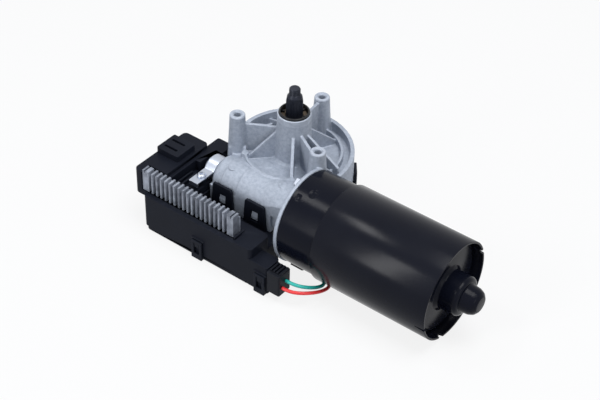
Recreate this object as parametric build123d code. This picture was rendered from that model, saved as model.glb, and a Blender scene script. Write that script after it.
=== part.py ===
from build123d import *
import math
import os

# Wiper motor: a long two-pole motor drives a helical wheel through a worm, and the output
# shaft stands up through a cast housing with three screw bosses.  Sizes are in millimetres.
# Origin: output shaft axis, in the plane of the boss tops.  +Z runs up the output shaft,
# +X runs along the motor towards its closed end, and the electronics box lies towards -Y.

# Worm drive
axial_module = 1.0
wheel_teeth = 62
worm_pitch_diameter = 8.0
pressure_angle = 20.0
flank_play = 0.15
root_clearance = 0.2
wheel_face = 10.0
worm_turns = 9

# Levels, from the plane of the boss tops
motor_axis_drop = 41.5
roof_drop = 30.0
parting_drop = 57.0
base_drop = 77.8

# Running and seating clearances
running_gap = 0.03
fit_gap = 0.3
wheel_gap = 2.5

# Output shaft
shaft_radius = 6.0
seat_radius = 5.9
cone_radius = 5.3
thread_radius = 4.0
shaft_top = 27.6
thread_length = 4.6
shoulder_length = 1.9
cone_length = 4.2
circlip_thickness = 1.0
circlip_radius = 8.6
washer_thickness = 1.0
bush_wall = 2.0
bush_length = 14.0

# Seal cap and felt
seal_cap_radius = 10.8
seal_cap_height = 5.0
seal_cap_wall = 1.3
seal_tab_count = 6
felt_thickness = 1.5

# Casting
housing_front = 51.0
left_inset = 9.0
right_inset = 23.0
groove_width = 2.5
cast_wall = 3.0
roof_wall = 3.5
tower_radius = 11.8
tower_rise = 7.3
tower_base_radius = 13.2
boss_radius = 5.5
boss_base_radius = 7.4
boss_hole_radius = 2.5
boss_hole_depth = 14.0
boss_left = (-35.4, -18.6)
boss_front = (33.4, -16.8)
boss_rear = (-2.5, 35.5)
rib_thickness = 2.2
rim_height = 7.0
rim_tilt = 4.0
rim_gap = (-150.0, -28.0)
lip_radius = 33.2
lip_height = 4.9
lip_pad_radius = 2.6
pin_mark_radius = 3.2
tunnel_radius = 16.0
tunnel_step = 0.5
neck_radius = 9.0
neck_length = 12.0
flare_radius = 19.4
flare_foot_radius = 30.0
flare_length = 9.8
flange_radius = 34.6
flange_thickness = 3.0
flange_face = 39.5
spigot_length = 4.5
skirt_ledge_drop = 42.0
skirt_ledge_depth = 2.0

# Motor shaft and bearings
motor_shaft_radius = 4.0
journal_radius = 3.0
journal_length = 10.0
journal_start = -30.5
bearing_radius = 11.0
bearing_width = 7.0
bearing_ball_radius = 1.98
bearing_ball_circle = 7.5
bearing_balls_count = 7
bearing_start = 27.5
retainer_thickness = 1.2
end_bush_wall = 2.0
thrust_ball_radius = 2.0
thrust_plug_length = 10.0

# Motor can
can_radius = 33.8
can_wall = 2.0
can_rear_face = 153.0
can_corner = 4.0
flux_ring_wall = 1.5
flux_ring_start = 68.0
flux_ring_end = 159.0
grommet_angle = -110.2
grommet_thickness = 3.1
end_boss_radius = 14.0
end_boss_face = 168.5
nose_radius = 10.0
nose_tip_radius = 5.6
nose_tip = 179.0
rear_bush_length = 8.0

# Armature and field
air_gap = 0.8
core_start = 74.0
core_length = 50.0
slot_count = 12
tooth_stem = 3.6
slot_opening = 2.4
core_hub_radius = 10.0
winding_overhang = 9.0
magnet_thickness = 7.7
magnet_length = 58.0
magnet_count = 4
magnet_half_angle = 36.0
commutator_radius = 11.5
commutator_start = 46.0
commutator_length = 17.0
bar_height = 3.0

# Brush gear
brush_plate_start = 44.3
brush_plate_thickness = 2.6
brush_width = 6.0
brush_depth = 8.0
brush_length = 12.0
brush_box_wall = 1.2
plate_screw_inset = 4.3
plate_screw_angle = 97.0
choke_angle = 50.0
screw_radius = 2.5

# Electronics box
box_left = -67.0
box_right = 29.5
box_front = -84.0
box_top_drop = 46.0
ledge_back = -63.3
shelf_drop = 56.5
box_wall = 2.0
box_back_left = -26.0
cover_height = 3.5
cover_inset = 0.6
pan_floor_drop = 68.0
sill_drop = 47.4
block_left = -78.0
block_right = -55.5
block_front = -80.0
block_top_drop = 31.5
block_bottom_drop = 52.0
mid_deck_drop = 34.5
deck_front = -43.5
deck_tail_back = -13.5
clip_deck_drop = 43.0
socket_depth = 17.0
socket_width = 20.0
socket_height = 10.0
plug_block_left = 29.5
plug_block_right = 44.0
plug_block_back = -70.5
plug_block_drop = 54.0
board_drop = 62.0
board_thickness = 1.6
doorway_span = (-31.0, 15.0)
tab_width = 16.6
tab_foot_spread = 1.8
tab_shoulder = 1.2
tab_window = (6.2, 8.6)
tab_window_drop = 11.5
tab_centres = (-21.0, 7.7)
nub_width = 5.4
tab_top_drop = 36.0
tab_thickness = 2.0
side_tab_width = 13.0
side_tab_angles = (38.0, 95.0, 150.0)
latch_centres = (-17.0, 38.2)
latch_width = 9.0
latch_rim = 2.2
hook_top_drop = 62.0
clip_post = (-40.0, -52.5)
clip_foot_drop = 37.5
box_standoffs = ((-61.0, -63.0), (-42.0, -60.0), (24.0, -57.0), (-61.0, -37.0))
pan_standoffs = ((-14.0, 9.0), (10.0, 9.0), (-14.0, -36.0), (10.0, -36.0))
standoff_radius = 2.4
transistor_places = (-48.0, -32.0, -16.0, 0.0)
transistor_width = 10.0
transistor_depth = 4.4
transistor_leg = 1.0
transistor_leg_pitch = 2.54
capacitor_radius = 5.0
capacitor_height = 8.2
capacitor_places = ((-48.0, -45.0), (20.0, -73.0))
controller_box = (-15.0, -3.0, -64.0, -57.5)
controller_height = 1.6
sensor_width = 5.0
sensor_depth = 4.0
sensor_height = 1.2

# Heat sink
fin_count = 21
fin_pitch = 4.0
fin_thickness = 1.7
fin_depth = 5.6
fin_height = 18.0
fin_front = -79.3
fin_top_drop = 30.0
sink_left = -70.9
sink_plate = 2.3
sink_plate_step = 4.0

# Earth clip
clip_width = 8.0
clip_sheet = 1.2
clip_back_angle = 40.0
clip_bend_radius = 2.6

# Motor leads
lead_diameter = 2.5
plug_left = 44.2
plug_right = 55.0
plug_front = -85.2
plug_back = -72.6
plug_top_drop = 53.0
plug_bottom_drop = 72.0
lead_exit_red = (-81.4, -66.4)
lead_exit_green = (-77.6, -62.4)

# Worked out from the sizes above
worm_pitch = math.pi * axial_module
wheel_pitch_radius = axial_module * wheel_teeth / 2
worm_pitch_radius = worm_pitch_diameter / 2
centre_distance = wheel_pitch_radius + worm_pitch_radius
wheel_tip_radius = wheel_pitch_radius + axial_module
wheel_root_radius = wheel_pitch_radius - axial_module - root_clearance
worm_tip_radius = worm_pitch_radius + axial_module
worm_root_radius = worm_pitch_radius - axial_module - root_clearance
lead_slope = worm_pitch / (2 * math.pi * worm_pitch_radius)
wheel_top = -motor_axis_drop + wheel_face / 2
wheel_bottom = -motor_axis_drop - wheel_face / 2
chamber_radius = wheel_tip_radius + wheel_gap
housing_radius = chamber_radius + cast_wall + groove_width + cast_wall
housing_left = housing_radius - left_inset
housing_right = housing_radius - right_inset
roof_under = -roof_drop - roof_wall
bush_seat_radius = shaft_radius + bush_wall
can_inner_radius = can_radius - can_wall
plate_screw_circle = can_inner_radius - plate_screw_inset
magnet_inner_radius = can_inner_radius - magnet_thickness
armature_radius = magnet_inner_radius - air_gap
box_floor = -base_drop + cover_height
motor_frame = Plane(origin=(0, -centre_distance, -motor_axis_drop), x_dir=(0, 1, 0), z_dir=(1, 0, 0))


def rod(radius, low, high, x=0.0, y=0.0):
    return Pos(x, y, low) * extrude(Circle(radius), high - low)


def ring(outer, inner, low, high, x=0.0, y=0.0):
    return Pos(x, y, low) * extrude(Circle(outer) - Circle(inner), high - low)


def block(x0, x1, y0, y1, z0, z1):
    return Pos((x0 + x1) / 2, (y0 + y1) / 2, (z0 + z1) / 2) * Box(x1 - x0, y1 - y0, z1 - z0)


def slab(x0, x1, y0, y1, z0, z1, corner):
    outline = Pos((x0 + x1) / 2, (y0 + y1) / 2) * RectangleRounded(x1 - x0, y1 - y0, corner)
    return Pos(0, 0, z0) * extrude(outline, z1 - z0)


def turned(points):
    """A solid of revolution from (radius, height) points round the local Z axis."""
    return revolve(Plane.XZ * make_face(Polyline(*points, close=True)), Axis.Z)


def on_motor(shape):
    """Places a shape modelled round its own Z axis onto the motor axis."""
    return motor_frame.location * shape


def round_array(shape, count, first=0.0):
    return [Rot(0, 0, first + 360 * k / count) * shape for k in range(count)]


def ring_sector(outer, inner, half_angle, low, high):
    """An arc-shaped block centred on the local X axis."""
    a = math.radians(half_angle)
    c, s = math.cos(a), math.sin(a)
    edges = [
        Line((inner * c, -inner * s), (outer * c, -outer * s)),
        ThreePointArc((outer * c, -outer * s), (outer, 0), (outer * c, outer * s)),
        Line((outer * c, outer * s), (inner * c, inner * s)),
        ThreePointArc((inner * c, inner * s), (inner, 0), (inner * c, -inner * s)),
    ]
    return Pos(0, 0, low) * extrude(make_face(edges), high - low)


# Output shaft group


def output_shaft():
    shoulder_foot = shaft_top - thread_length - shoulder_length
    cone_foot = shoulder_foot - cone_length
    seat_foot = felt_level() + felt_thickness + 0.4
    groove = circlip_level()
    shaft_foot = wheel_bottom - 7.5
    shape = turned(
        [
            (0, shaft_foot),
            (shaft_radius - 0.6, shaft_foot),
            (shaft_radius, shaft_foot + 0.6),
            (shaft_radius, groove),
            (shaft_radius - 0.8, groove),
            (shaft_radius - 0.8, groove + circlip_thickness),
            (shaft_radius, groove + circlip_thickness),
            (shaft_radius, seat_foot - 0.8),
            (seat_radius - 0.4, seat_foot - 0.6),
            (seat_radius - 0.4, seat_foot),
            (seat_radius, seat_foot),
            (seat_radius, cone_foot),
            (cone_radius, shoulder_foot),
            (thread_radius, shaft_top - thread_length),
            (thread_radius, shaft_top - 0.8),
            (thread_radius - 0.8, shaft_top),
            (0, shaft_top),
        ]
    )
    return shape


def circlip_level():
    """Height of the circlip's lower face, above the upper bush and its washer."""
    return seal_seat() + washer_thickness


def seal_seat():
    """Height of the shoulder at the foot of the tower's mouth, which carries the washer."""
    return tower_rise - seal_cap_height - circlip_thickness


def felt_level():
    """Height of the felt's underside, just above the circlip."""
    return circlip_level() + circlip_thickness + 0.2


def shaft_washer():
    top = circlip_level()
    return ring(bush_seat_radius + 1.5, shaft_radius + 0.2, top - washer_thickness, top)


def shaft_circlip():
    level = circlip_level()
    clip = ring(circlip_radius, shaft_radius - 0.8, level, level + circlip_thickness)
    gap = block(0, circlip_radius + 1, -1.6, 1.6, level - 1, level + circlip_thickness + 1)
    return clip - gap


def shaft_bush(low):
    return ring(bush_seat_radius, shaft_radius + running_gap, low, low + bush_length)


def upper_bush_foot():
    return seal_seat() - bush_length


def lower_bush_foot():
    return roof_under - 1.5


def seal_cap():
    """Dust cap in the tower's mouth: a plain ring with six tabs that hold the felt down."""
    foot = felt_level()
    top = foot + seal_cap_height + 0.4
    inner = seal_cap_radius - seal_cap_wall
    skin = turned(
        [
            (seal_cap_radius, foot),
            (seal_cap_radius, top - 0.6),
            (seal_cap_radius - 0.6, top),
            (inner + 0.3, top),
            (inner, top - 0.3),
            (inner, foot),
        ]
    )
    tab_foot = foot + felt_thickness + 0.05
    tab = block(shaft_radius + 1.2, inner + 0.2, -0.65, 0.65, tab_foot, tab_foot + 1.6)
    return skin + round_array(tab, seal_tab_count, 15)


def felt_washer():
    low = felt_level()
    return ring(seal_cap_radius - seal_cap_wall - 0.2, shaft_radius + fit_gap, low, low + felt_thickness)


def thrust_washer():
    low = wheel_top + 0.1
    return ring(bush_seat_radius + 2, shaft_radius + 0.1, low, lower_bush_foot() - 0.1)


def wheel_tooth():
    """One helical tooth pointing to -Y, with involute flanks through three radii."""
    thickness = math.pi * axial_module / 2 - flank_play
    base_radius = wheel_pitch_radius * math.cos(math.radians(pressure_angle))
    half_at_pitch = thickness / (2 * wheel_pitch_radius)

    def involute(radius):
        angle = math.acos(base_radius / radius)
        return math.tan(angle) - angle

    def flank(radius, side):
        half = half_at_pitch + involute(wheel_pitch_radius) - involute(radius)
        return (side * radius * math.sin(half), -radius * math.cos(half))

    radii = (wheel_root_radius - 0.4, wheel_pitch_radius, wheel_tip_radius)
    left = [flank(r, -1) for r in radii]
    right = [flank(r, 1) for r in reversed(radii)]
    profile = make_face(Polyline(*left, *right, close=True))
    shift = lead_slope * wheel_face
    start = Pos(-shift / 2, 0, wheel_bottom) * profile
    return extrude(start, amount=math.hypot(shift, wheel_face), dir=(shift, 0, wheel_face))


def worm_wheel():
    hub = hub_radius()
    rim_inner = wheel_root_radius - 3.6
    middle = -motor_axis_drop
    body = turned(
        [
            (hub, wheel_bottom),
            (hub + 3.5, wheel_bottom),
            (hub + 3.5, middle - 1.6),
            (rim_inner, middle - 1.6),
            (rim_inner, wheel_bottom),
            (wheel_root_radius, wheel_bottom),
            (wheel_root_radius, wheel_top),
            (rim_inner, wheel_top),
            (rim_inner, middle + 1.6),
            (hub + 3.5, middle + 1.6),
            (hub + 3.5, wheel_top),
            (hub, wheel_top),
        ]
    )
    web_rib = block(hub + 3, rim_inner + 0.5, -0.9, 0.9, wheel_bottom + 1.4, wheel_top - 1.4)
    body += round_array(web_rib, 8)
    body += round_array(wheel_tooth(), wheel_teeth)
    return body - splines(hub, wheel_bottom - 1, wheel_top + 1, 0.0)


def hub_radius():
    return shaft_radius + 4.5


def splines(radius, low, high, ease):
    """Six drive lugs that key the steel hub into the moulded wheel."""
    lug = block(0, radius + 1.6 - ease, -1.8 + ease, 1.8 - ease, low, high)
    return rod(radius - ease, low, high) + round_array(lug, 6)


def wheel_hub():
    return splines(hub_radius(), wheel_bottom, wheel_top, 0.0) - rod(shaft_radius, wheel_bottom - 1,
                                                                     wheel_top + 1)


def position_magnet():
    foot = wheel_bottom - 7.5
    return rod(shaft_radius - 1, foot - 3, foot)


# Armature


def worm_thread():
    thickness = worm_pitch / 2 - flank_play
    slope = math.tan(math.radians(pressure_angle))
    sunk = 0.3
    crest = thickness / 2 - axial_module * slope
    foot = thickness / 2 + (axial_module + root_clearance + sunk) * slope
    reach = axial_module
    depth = -(axial_module + root_clearance + sunk)
    half_length = worm_turns * worm_pitch / 2
    path = Pos(0, 0, -half_length) * Helix(worm_pitch, worm_turns * worm_pitch, worm_pitch_radius)
    start = Plane(origin=(worm_pitch_radius, 0, -half_length), x_dir=(1, 0, 0), z_dir=(0, 1, 0))
    profile = start * make_face(Polyline((depth, -foot), (depth, foot), (reach, crest), (reach, -crest),
                                         close=True))
    return sweep(profile, path=path, is_frenet=True)


def shaft_end():
    return nose_tip - can_wall - 2.5


def armature_shaft():
    """Motor shaft with its rolled single-start worm, an end journal and a chamfered tail."""
    worm_half = worm_turns * worm_pitch / 2 + worm_pitch / 2
    journal_end = journal_start + journal_length + 2
    core = turned(
        [
            (0, journal_start),
            (journal_radius - 0.5, journal_start),
            (journal_radius, journal_start + 0.5),
            (journal_radius, journal_end),
            (worm_root_radius, journal_end + 0.4),
            (worm_root_radius, worm_half),
            (motor_shaft_radius, worm_half + 1.2),
            (motor_shaft_radius, shaft_end() - 0.8),
            (motor_shaft_radius - 0.8, shaft_end()),
            (0, shaft_end()),
        ]
    )
    return on_motor(core + worm_thread())


def armature_core():
    """Stack of slotted sheets: twelve teeth with wide heads round a hub."""
    head = ring_sector(armature_radius, armature_radius - 2.6, head_half_angle(), core_start,
                       core_start + core_length)
    stem = block(core_hub_radius - 1, armature_radius - 2, -tooth_stem / 2, tooth_stem / 2, core_start,
                 core_start + core_length)
    body = rod(core_hub_radius, core_start, core_start + core_length)
    body += round_array(stem + head, slot_count)
    return on_motor(body - rod(motor_shaft_radius, core_start - 1, core_start + core_length + 1))


def head_half_angle():
    return 180 / slot_count - math.degrees(slot_opening / 2 / armature_radius)


def armature_windings():
    """Coils: a bundle in each slot, joined by the rounded end turns at both ends."""
    inner = core_hub_radius + fit_gap
    outer = armature_radius - 2.6 - fit_gap
    side = tooth_stem / 2 + fit_gap
    foot_angle = 180 / slot_count - math.degrees(math.asin(side / inner))
    head_angle = 180 / slot_count - math.degrees(math.asin(side / outer))
    low, high = core_start - 0.5, core_start + core_length + 0.5
    corners = [
        (inner * math.cos(math.radians(foot_angle)), -inner * math.sin(math.radians(foot_angle))),
        (outer * math.cos(math.radians(head_angle)), -outer * math.sin(math.radians(head_angle))),
        (outer * math.cos(math.radians(head_angle)), outer * math.sin(math.radians(head_angle))),
        (inner * math.cos(math.radians(foot_angle)), inner * math.sin(math.radians(foot_angle))),
    ]
    bundle = Pos(0, 0, low) * extrude(make_face(Polyline(*corners, close=True)), high - low)
    coils = round_array(bundle, slot_count, 180 / slot_count)
    coils.append(end_turns(core_start - 0.3, -1))
    coils.append(end_turns(core_start + core_length + 0.3, 1))
    return on_motor(Part() + coils)


def end_turns(face, side):
    reach = side * winding_overhang
    inner, outer = motor_shaft_radius + 3, armature_radius - 2.4
    return turned(
        [
            (inner, face),
            (outer, face),
            (outer, face + reach * 0.55),
            (outer - 2.5, face + reach * 0.9),
            (outer - 6, face + reach),
            (inner + 3, face + reach * 0.8),
            (inner, face + reach * 0.4),
        ]
    )


def commutator_core():
    low, high = commutator_start, commutator_start + commutator_length
    return on_motor(ring(commutator_radius - bar_height, motor_shaft_radius, low, high))


def commutator_bars():
    """Twelve copper bars with a riser hook at the winding end."""
    low, high = commutator_start + 0.8, commutator_start + commutator_length - 0.8
    inner = commutator_radius - bar_height
    bar = ring_sector(commutator_radius, inner, 180 / slot_count - 1.5, low, high)
    riser = ring_sector(commutator_radius + 1.5, commutator_radius - 0.5, 3.5, high - 2, high)
    bars = [on_motor(shape) for shape in round_array(bar + riser, slot_count)]
    return Compound(children=bars)


# Motor bearings


def bearing_groove():
    """Ball track: a torus a little larger than the balls."""
    middle = bearing_start + bearing_width / 2
    return Pos(0, 0, middle) * Torus(bearing_ball_circle, bearing_ball_radius + 0.05)


def bearing_ring(outer, inner):
    shape = ring(outer, inner, bearing_start, bearing_start + bearing_width)
    return on_motor(shape - bearing_groove())


def bearing_balls():
    middle = bearing_start + bearing_width / 2
    ball = Pos(bearing_ball_circle, 0, middle) * Sphere(bearing_ball_radius)
    return Compound(children=[on_motor(shape) for shape in round_array(ball, bearing_balls_count)])


def bearing_retainer():
    low = bearing_start + bearing_width
    return on_motor(ring(bearing_radius, bearing_radius - 2, low, low + retainer_thickness))


def worm_end_bush():
    low = journal_start + 0.5
    return on_motor(ring(journal_radius + end_bush_wall, journal_radius + running_gap, low,
                         low + journal_length))


def thrust_ball():
    centre = journal_start - thrust_ball_radius
    return on_motor(Pos(0, 0, centre) * Sphere(thrust_ball_radius - 0.02))


def thrust_plug():
    """Screw that takes up the shaft's end play, with a driver slot outside."""
    inner = journal_start - 2 * thrust_ball_radius
    outer = inner - thrust_plug_length
    plug = rod(plug_bore(), outer, inner)
    slot = block(-plug_bore() - 1, plug_bore() + 1, -0.7, 0.7, outer - 1, outer + 2)
    return on_motor(plug - slot)


def plug_bore():
    return journal_radius + 1.2


def rear_bush():
    low = end_boss_face - can_wall
    return on_motor(ring(nose_radius - can_wall, motor_shaft_radius + running_gap, low,
                         low + rear_bush_length))


def rear_bush_retainer():
    high = end_boss_face - can_wall
    outer = end_boss_radius - can_wall
    return on_motor(ring(outer, motor_shaft_radius + 1.5, high - 1, high))


# Motor can and field


def motor_can():
    """Drawn steel pot: a straight wall, a dished end and the bearing nose."""
    wall = can_wall
    corner = can_corner
    outer = [
        (can_radius, flange_face),
        (can_radius, can_rear_face - corner),
        (can_radius - 0.3 * corner, can_rear_face - 0.3 * corner),
        (can_radius - corner, can_rear_face),
        (end_boss_radius + 2.2, can_rear_face),
        (end_boss_radius, can_rear_face + 2.2),
        (end_boss_radius, end_boss_face - 2.5),
        (end_boss_radius - 0.8, end_boss_face - 0.8),
        (end_boss_radius - 2.5, end_boss_face),
        (nose_radius, end_boss_face),
        (nose_radius - 0.6, nose_tip - 5),
        (nose_radius - 2.0, nose_tip - 1.9),
        (nose_tip_radius, nose_tip),
        (0, nose_tip),
    ]
    inner = [
        (0, nose_tip - wall),
        (nose_tip_radius - 1, nose_tip - wall),
        (nose_radius - wall, nose_tip - 3.2),
        (nose_radius - wall, end_boss_face - wall),
        (end_boss_radius - wall, end_boss_face - wall),
        (end_boss_radius - wall, can_rear_face - wall),
        (can_radius - corner, can_rear_face - wall),
        (can_radius - wall, can_rear_face - corner),
        (can_radius - wall, flange_face),
    ]
    pot = turned(outer + inner)
    dimple = Rot(0, 90, 0) * extrude(Circle(2.6), 1.2, both=True)
    dimple = Pos(can_radius + 0.4, 0, flange_face + 12.5) * dimple
    crimp = block(can_radius - 0.5, can_radius + 1, -1.6, 1.6, flange_face + 3.4, flange_face + 6.0)
    slot = block(can_radius - 4, can_radius + 1, -3.2, 3.2, flange_face - 1, flange_face + 9)
    pot -= round_array(dimple, 3, 108) + round_array(crimp, 3, 120)
    return on_motor(pot - Rot(0, 0, grommet_angle) * slot)


def lead_grommet():
    """Rubber boot in the can's mouth that turns the leads along the can."""
    low = flange_face + 0.2
    plug = block(can_inner_radius - 1, can_radius + 0.1, -3.0, 3.0, low, low + 8.6)
    boot = ring_sector(can_radius + 0.1 + grommet_thickness, can_radius + 0.1, 8.5, low, low + 10)
    return on_motor(Rot(0, 0, grommet_angle) * (plug + boot))


def flux_ring():
    """Steel sleeve over the can, with small notches in its rear rim."""
    inner = can_radius + 0.05
    outer = inner + flux_ring_wall
    sleeve = turned(
        [
            (inner, flux_ring_start),
            (outer - 0.4, flux_ring_start),
            (outer, flux_ring_start + 0.4),
            (outer, flux_ring_end - 0.6),
            (outer - 0.6, flux_ring_end),
            (inner, flux_ring_end),
        ]
    )
    notch = block(inner - 2, outer + 2, -2.2, 2.2, flux_ring_end - 2.2, flux_ring_end + 1)
    slit = block(inner - 2, outer + 2, -0.8, 0.8, flux_ring_end - 7, flux_ring_end + 1)
    sleeve -= [Rot(0, 0, 196) * slit, Rot(0, 0, 252) * notch, Rot(0, 0, 20) * notch]
    return on_motor(sleeve)


def magnet_start():
    return core_start + core_length / 2 - magnet_length / 2


def field_magnets():
    """Ferrite arcs glued round the inside of the can."""
    low = magnet_start()
    arc = ring_sector(can_inner_radius - 0.05, magnet_inner_radius, magnet_half_angle, low,
                      low + magnet_length)
    arcs = [on_motor(shape) for shape in round_array(arc, magnet_count, 45)]
    return Compound(children=arcs)


def magnet_springs():
    """Bent strips that spread neighbouring magnets against the can."""
    low = magnet_start() + 8
    high = low + magnet_length - 16
    gap_half = 180 / magnet_count - magnet_half_angle
    outer = can_inner_radius - 0.1
    bow = ring_sector(outer, outer - 0.9, gap_half - 0.6, low, high)
    reach = outer * math.sin(math.radians(gap_half - 0.6))
    leg = block(magnet_inner_radius + 1.5, outer - 0.5, -0.4, 0.4, low, high)
    legs = [Pos(0, side * (reach - 1.6), 0) * leg for side in (-1, 1)]
    springs = [on_motor(shape) for shape in round_array(bow + legs, magnet_count)]
    return Compound(children=springs)


# Brush gear


def brush_level():
    """Axial place of the brush floor, inside its box."""
    return brush_plate_start + brush_plate_thickness + 0.15


def brush_plate():
    """Moulded ring on the spigot with two boxes that guide the brushes."""
    low = brush_plate_start
    face = low + brush_plate_thickness
    plate = ring(can_inner_radius - 0.2, commutator_radius + 2, low, face)
    wall = brush_box_wall
    top = brush_level() + brush_depth + 0.15 + wall
    tunnel = block(commutator_radius + 2.2, commutator_radius + 14, -brush_width / 2 - 0.15,
                   brush_width / 2 + 0.15, face, top - wall)
    case = block(commutator_radius + 2.2, commutator_radius + 13.5, -brush_width / 2 - wall,
                 brush_width / 2 + wall, face, top)
    boxes = round_array(case - tunnel, 2)
    post = [Rot(0, 0, plate_screw_angle + turn) * rod(4, low, face + 3,
                                                      x=plate_screw_circle) for turn in (0, 180)]
    plate = plate + boxes + post
    hole = [Rot(0, 0, plate_screw_angle + turn) * rod(screw_radius, low - 1, face + 2,
                                                      x=plate_screw_circle) for turn in (0, 180)]
    relief = Rot(0, 0, grommet_angle) * block(can_inner_radius - 1.4, can_radius, -3.6, 3.6, low - 1,
                                              face + 1)
    return on_motor(plate - hole - relief)


def carbon_brushes():
    """Two carbon blocks with ends hollowed to the commutator."""
    low = brush_level()
    inner = commutator_radius - 0.6
    brush = block(inner, inner + brush_length, -brush_width / 2, brush_width / 2, low, low + brush_depth)
    brush -= rod(commutator_radius + 0.1, low - 1, low + brush_depth + 1)
    return Compound(children=[on_motor(shape) for shape in round_array(brush, 2)])


def brush_springs():
    """A rolled strip behind each brush that pushes it inwards."""
    low = brush_level() + 1
    start = commutator_radius - 0.6 + brush_length
    roll = ring(2.4, 1.5, low, low + brush_depth - 2, x=start + 2.4)
    return Compound(children=[on_motor(shape) for shape in round_array(roll, 2)])


def choke_coils():
    """Two wound ferrite rods that quiet the brushes."""
    low = brush_plate_start + brush_plate_thickness
    stub = rod(1.6, low, low + 13) + ring(3.1, 1.6, low + 1.5, low + 11.5)
    coil = Pos(22.5, 0, 0) * stub
    return Compound(children=[on_motor(Rot(0, 0, turn) * coil) for turn in (choke_angle, choke_angle + 180)])


def plate_screws():
    """Hex screws through the flange into the brush plate."""
    head = Pos(0, 0, flange_start() - 3.6) * extrude(RegularPolygon(4.0, 6, major_radius=False), 3.6)
    shank = rod(screw_radius, flange_start(), brush_plate_start + 3.4)
    screw = Pos(plate_screw_circle, 0, 0) * (head + shank)
    places = [Rot(0, 0, plate_screw_angle + turn) * screw for turn in (0, 180)]
    return Compound(children=[on_motor(shape) for shape in places])


def flange_start():
    return flange_face - flange_thickness


# Casting


def housing_outline(inset=0.0):
    """Plan of the gear chamber with its straight front bay under the worm tunnel."""
    left, right = -housing_left + inset, housing_right - inset
    front = -housing_front + inset
    bay = Pos((left + right) / 2, front / 2) * Rectangle(right - left, -front)
    return Circle(housing_radius - inset) + bay


def pan_outline(inset=0.0):
    """The same plan for the tray and gasket, kept clear of the motor flange."""
    reach = housing_radius
    keep_out = Pos(flange_start() - fit_gap - inset + reach / 2, -reach / 2) * Rectangle(reach, reach + 6)
    return housing_outline(inset) - keep_out


def rib(angle, start, start_z, end, end_z):
    """An upright web from the tower outwards, with a straight sloping top."""
    foot = -roof_drop - 0.5
    profile = Plane.XZ * make_face(Polyline((start, foot), (start, start_z), (end, end_z), (end, foot),
                                            close=True))
    return Rot(0, 0, angle) * extrude(profile, rib_thickness / 2, both=True)


def rib_to(boss, level_start, level_end):
    angle = math.degrees(math.atan2(boss[1], boss[0]))
    return rib(angle, tower_radius - 1.5, level_start, math.hypot(*boss) - boss_radius + 1, level_end)


def screw_boss(place, foot):
    taper = turned([(0, foot), (boss_base_radius, foot), (boss_radius, -1), (boss_radius - 0.6, 0), (0, 0)])
    return Pos(*place) * taper


def boss_hole(place):
    mouth = boss_hole_radius + 0.9
    hole = turned(
        [
            (0, 0.5),
            (mouth, 0.5),
            (mouth, 0),
            (boss_hole_radius, -0.9),
            (boss_hole_radius, -boss_hole_depth),
            (0, -boss_hole_depth - 1.4),
        ]
    )
    return Pos(*place) * hole


def tunnel_shell():
    """Outside of the worm tunnel, its neck and the flare up to the motor flange."""
    start = -housing_left
    step = tunnel_step
    first, second = start + 9, start + 23
    flare_end = flange_face - flare_length
    flare_start = flare_end - 21
    shell = turned(
        [
            (0, start - neck_length),
            (neck_radius - 1, start - neck_length),
            (neck_radius, start - neck_length + 1),
            (neck_radius, start),
            (tunnel_radius - 3, start),
            (tunnel_radius - 1.6, start + 2),
            (tunnel_radius - 2 * step, first),
            (tunnel_radius - step, first),
            (tunnel_radius - step, second),
            (tunnel_radius, second),
            (tunnel_radius, flare_start),
            (flare_radius, flare_end),
            (flare_foot_radius, flange_start()),
            (flange_radius - 0.8, flange_start()),
            (flange_radius, flange_start() + 0.8),
            (flange_radius, flange_face),
            (0, flange_face),
        ]
    )
    return on_motor(shell)


def housing_rim():
    """Raised outer wall whose top falls gently towards the motor side."""
    first, last = rim_gap
    wall = ring(housing_radius, housing_radius - cast_wall, -roof_drop - 1, -roof_drop + rim_height + 4)
    opening = ring_sector(housing_radius + 5, lip_radius + 3, (last - first) / 2, -roof_drop, 0)
    low_side = -roof_drop + rim_height
    above = Rot(0, 0, 150) * Pos(0, 0, low_side) * Rot(0, -rim_tilt, 0) * Pos(0, 0, 25) * Box(140, 140, 50)
    return wall - above - Rot(0, 0, (first + last) / 2) * opening


def web(start, start_z, end, end_z, thickness):
    """An upright wall between two places in plan, with a straight sloping top."""
    foot = -roof_drop - 0.5
    run = math.dist(start, end)
    profile = Plane.XZ * make_face(Polyline((0, foot), (0, start_z), (run, end_z), (run, foot), close=True))
    turn = math.degrees(math.atan2(end[1] - start[1], end[0] - start[0]))
    return Pos(*start) * Rot(0, 0, turn) * extrude(profile, thickness / 2, both=True)


def boss_fin():
    """A fin down the outer side of the left boss, on the wall of the skirt."""
    low = -motor_axis_drop + 0.5
    profile = make_face(Polyline((0, -13.5), (7.5, -26), (7.5, low), (0, low), close=True))
    return Pos(*boss_left) * Rot(0, 0, -105) * extrude(Plane.XZ * profile, rib_thickness / 2, both=True)


def roof_marks():
    """Round pads at the feet of two ribs, and the shallow marks of the ejector pins."""
    marks = []
    for angle in (225, -54.5):
        pad = rod(lip_pad_radius, -roof_drop - 1, -roof_drop + lip_height + 0.6, x=lip_radius + 0.8)
        marks.append(Rot(0, 0, angle) * pad)
    for x, y, top in ((-6.4, -20.0, -roof_drop + 0.4), (-21.5, -40.1, -26.9), (20.2, -37.0, -23.3)):
        marks.append(rod(pin_mark_radius, top - 4, top, x=x, y=y))
    return marks


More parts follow.
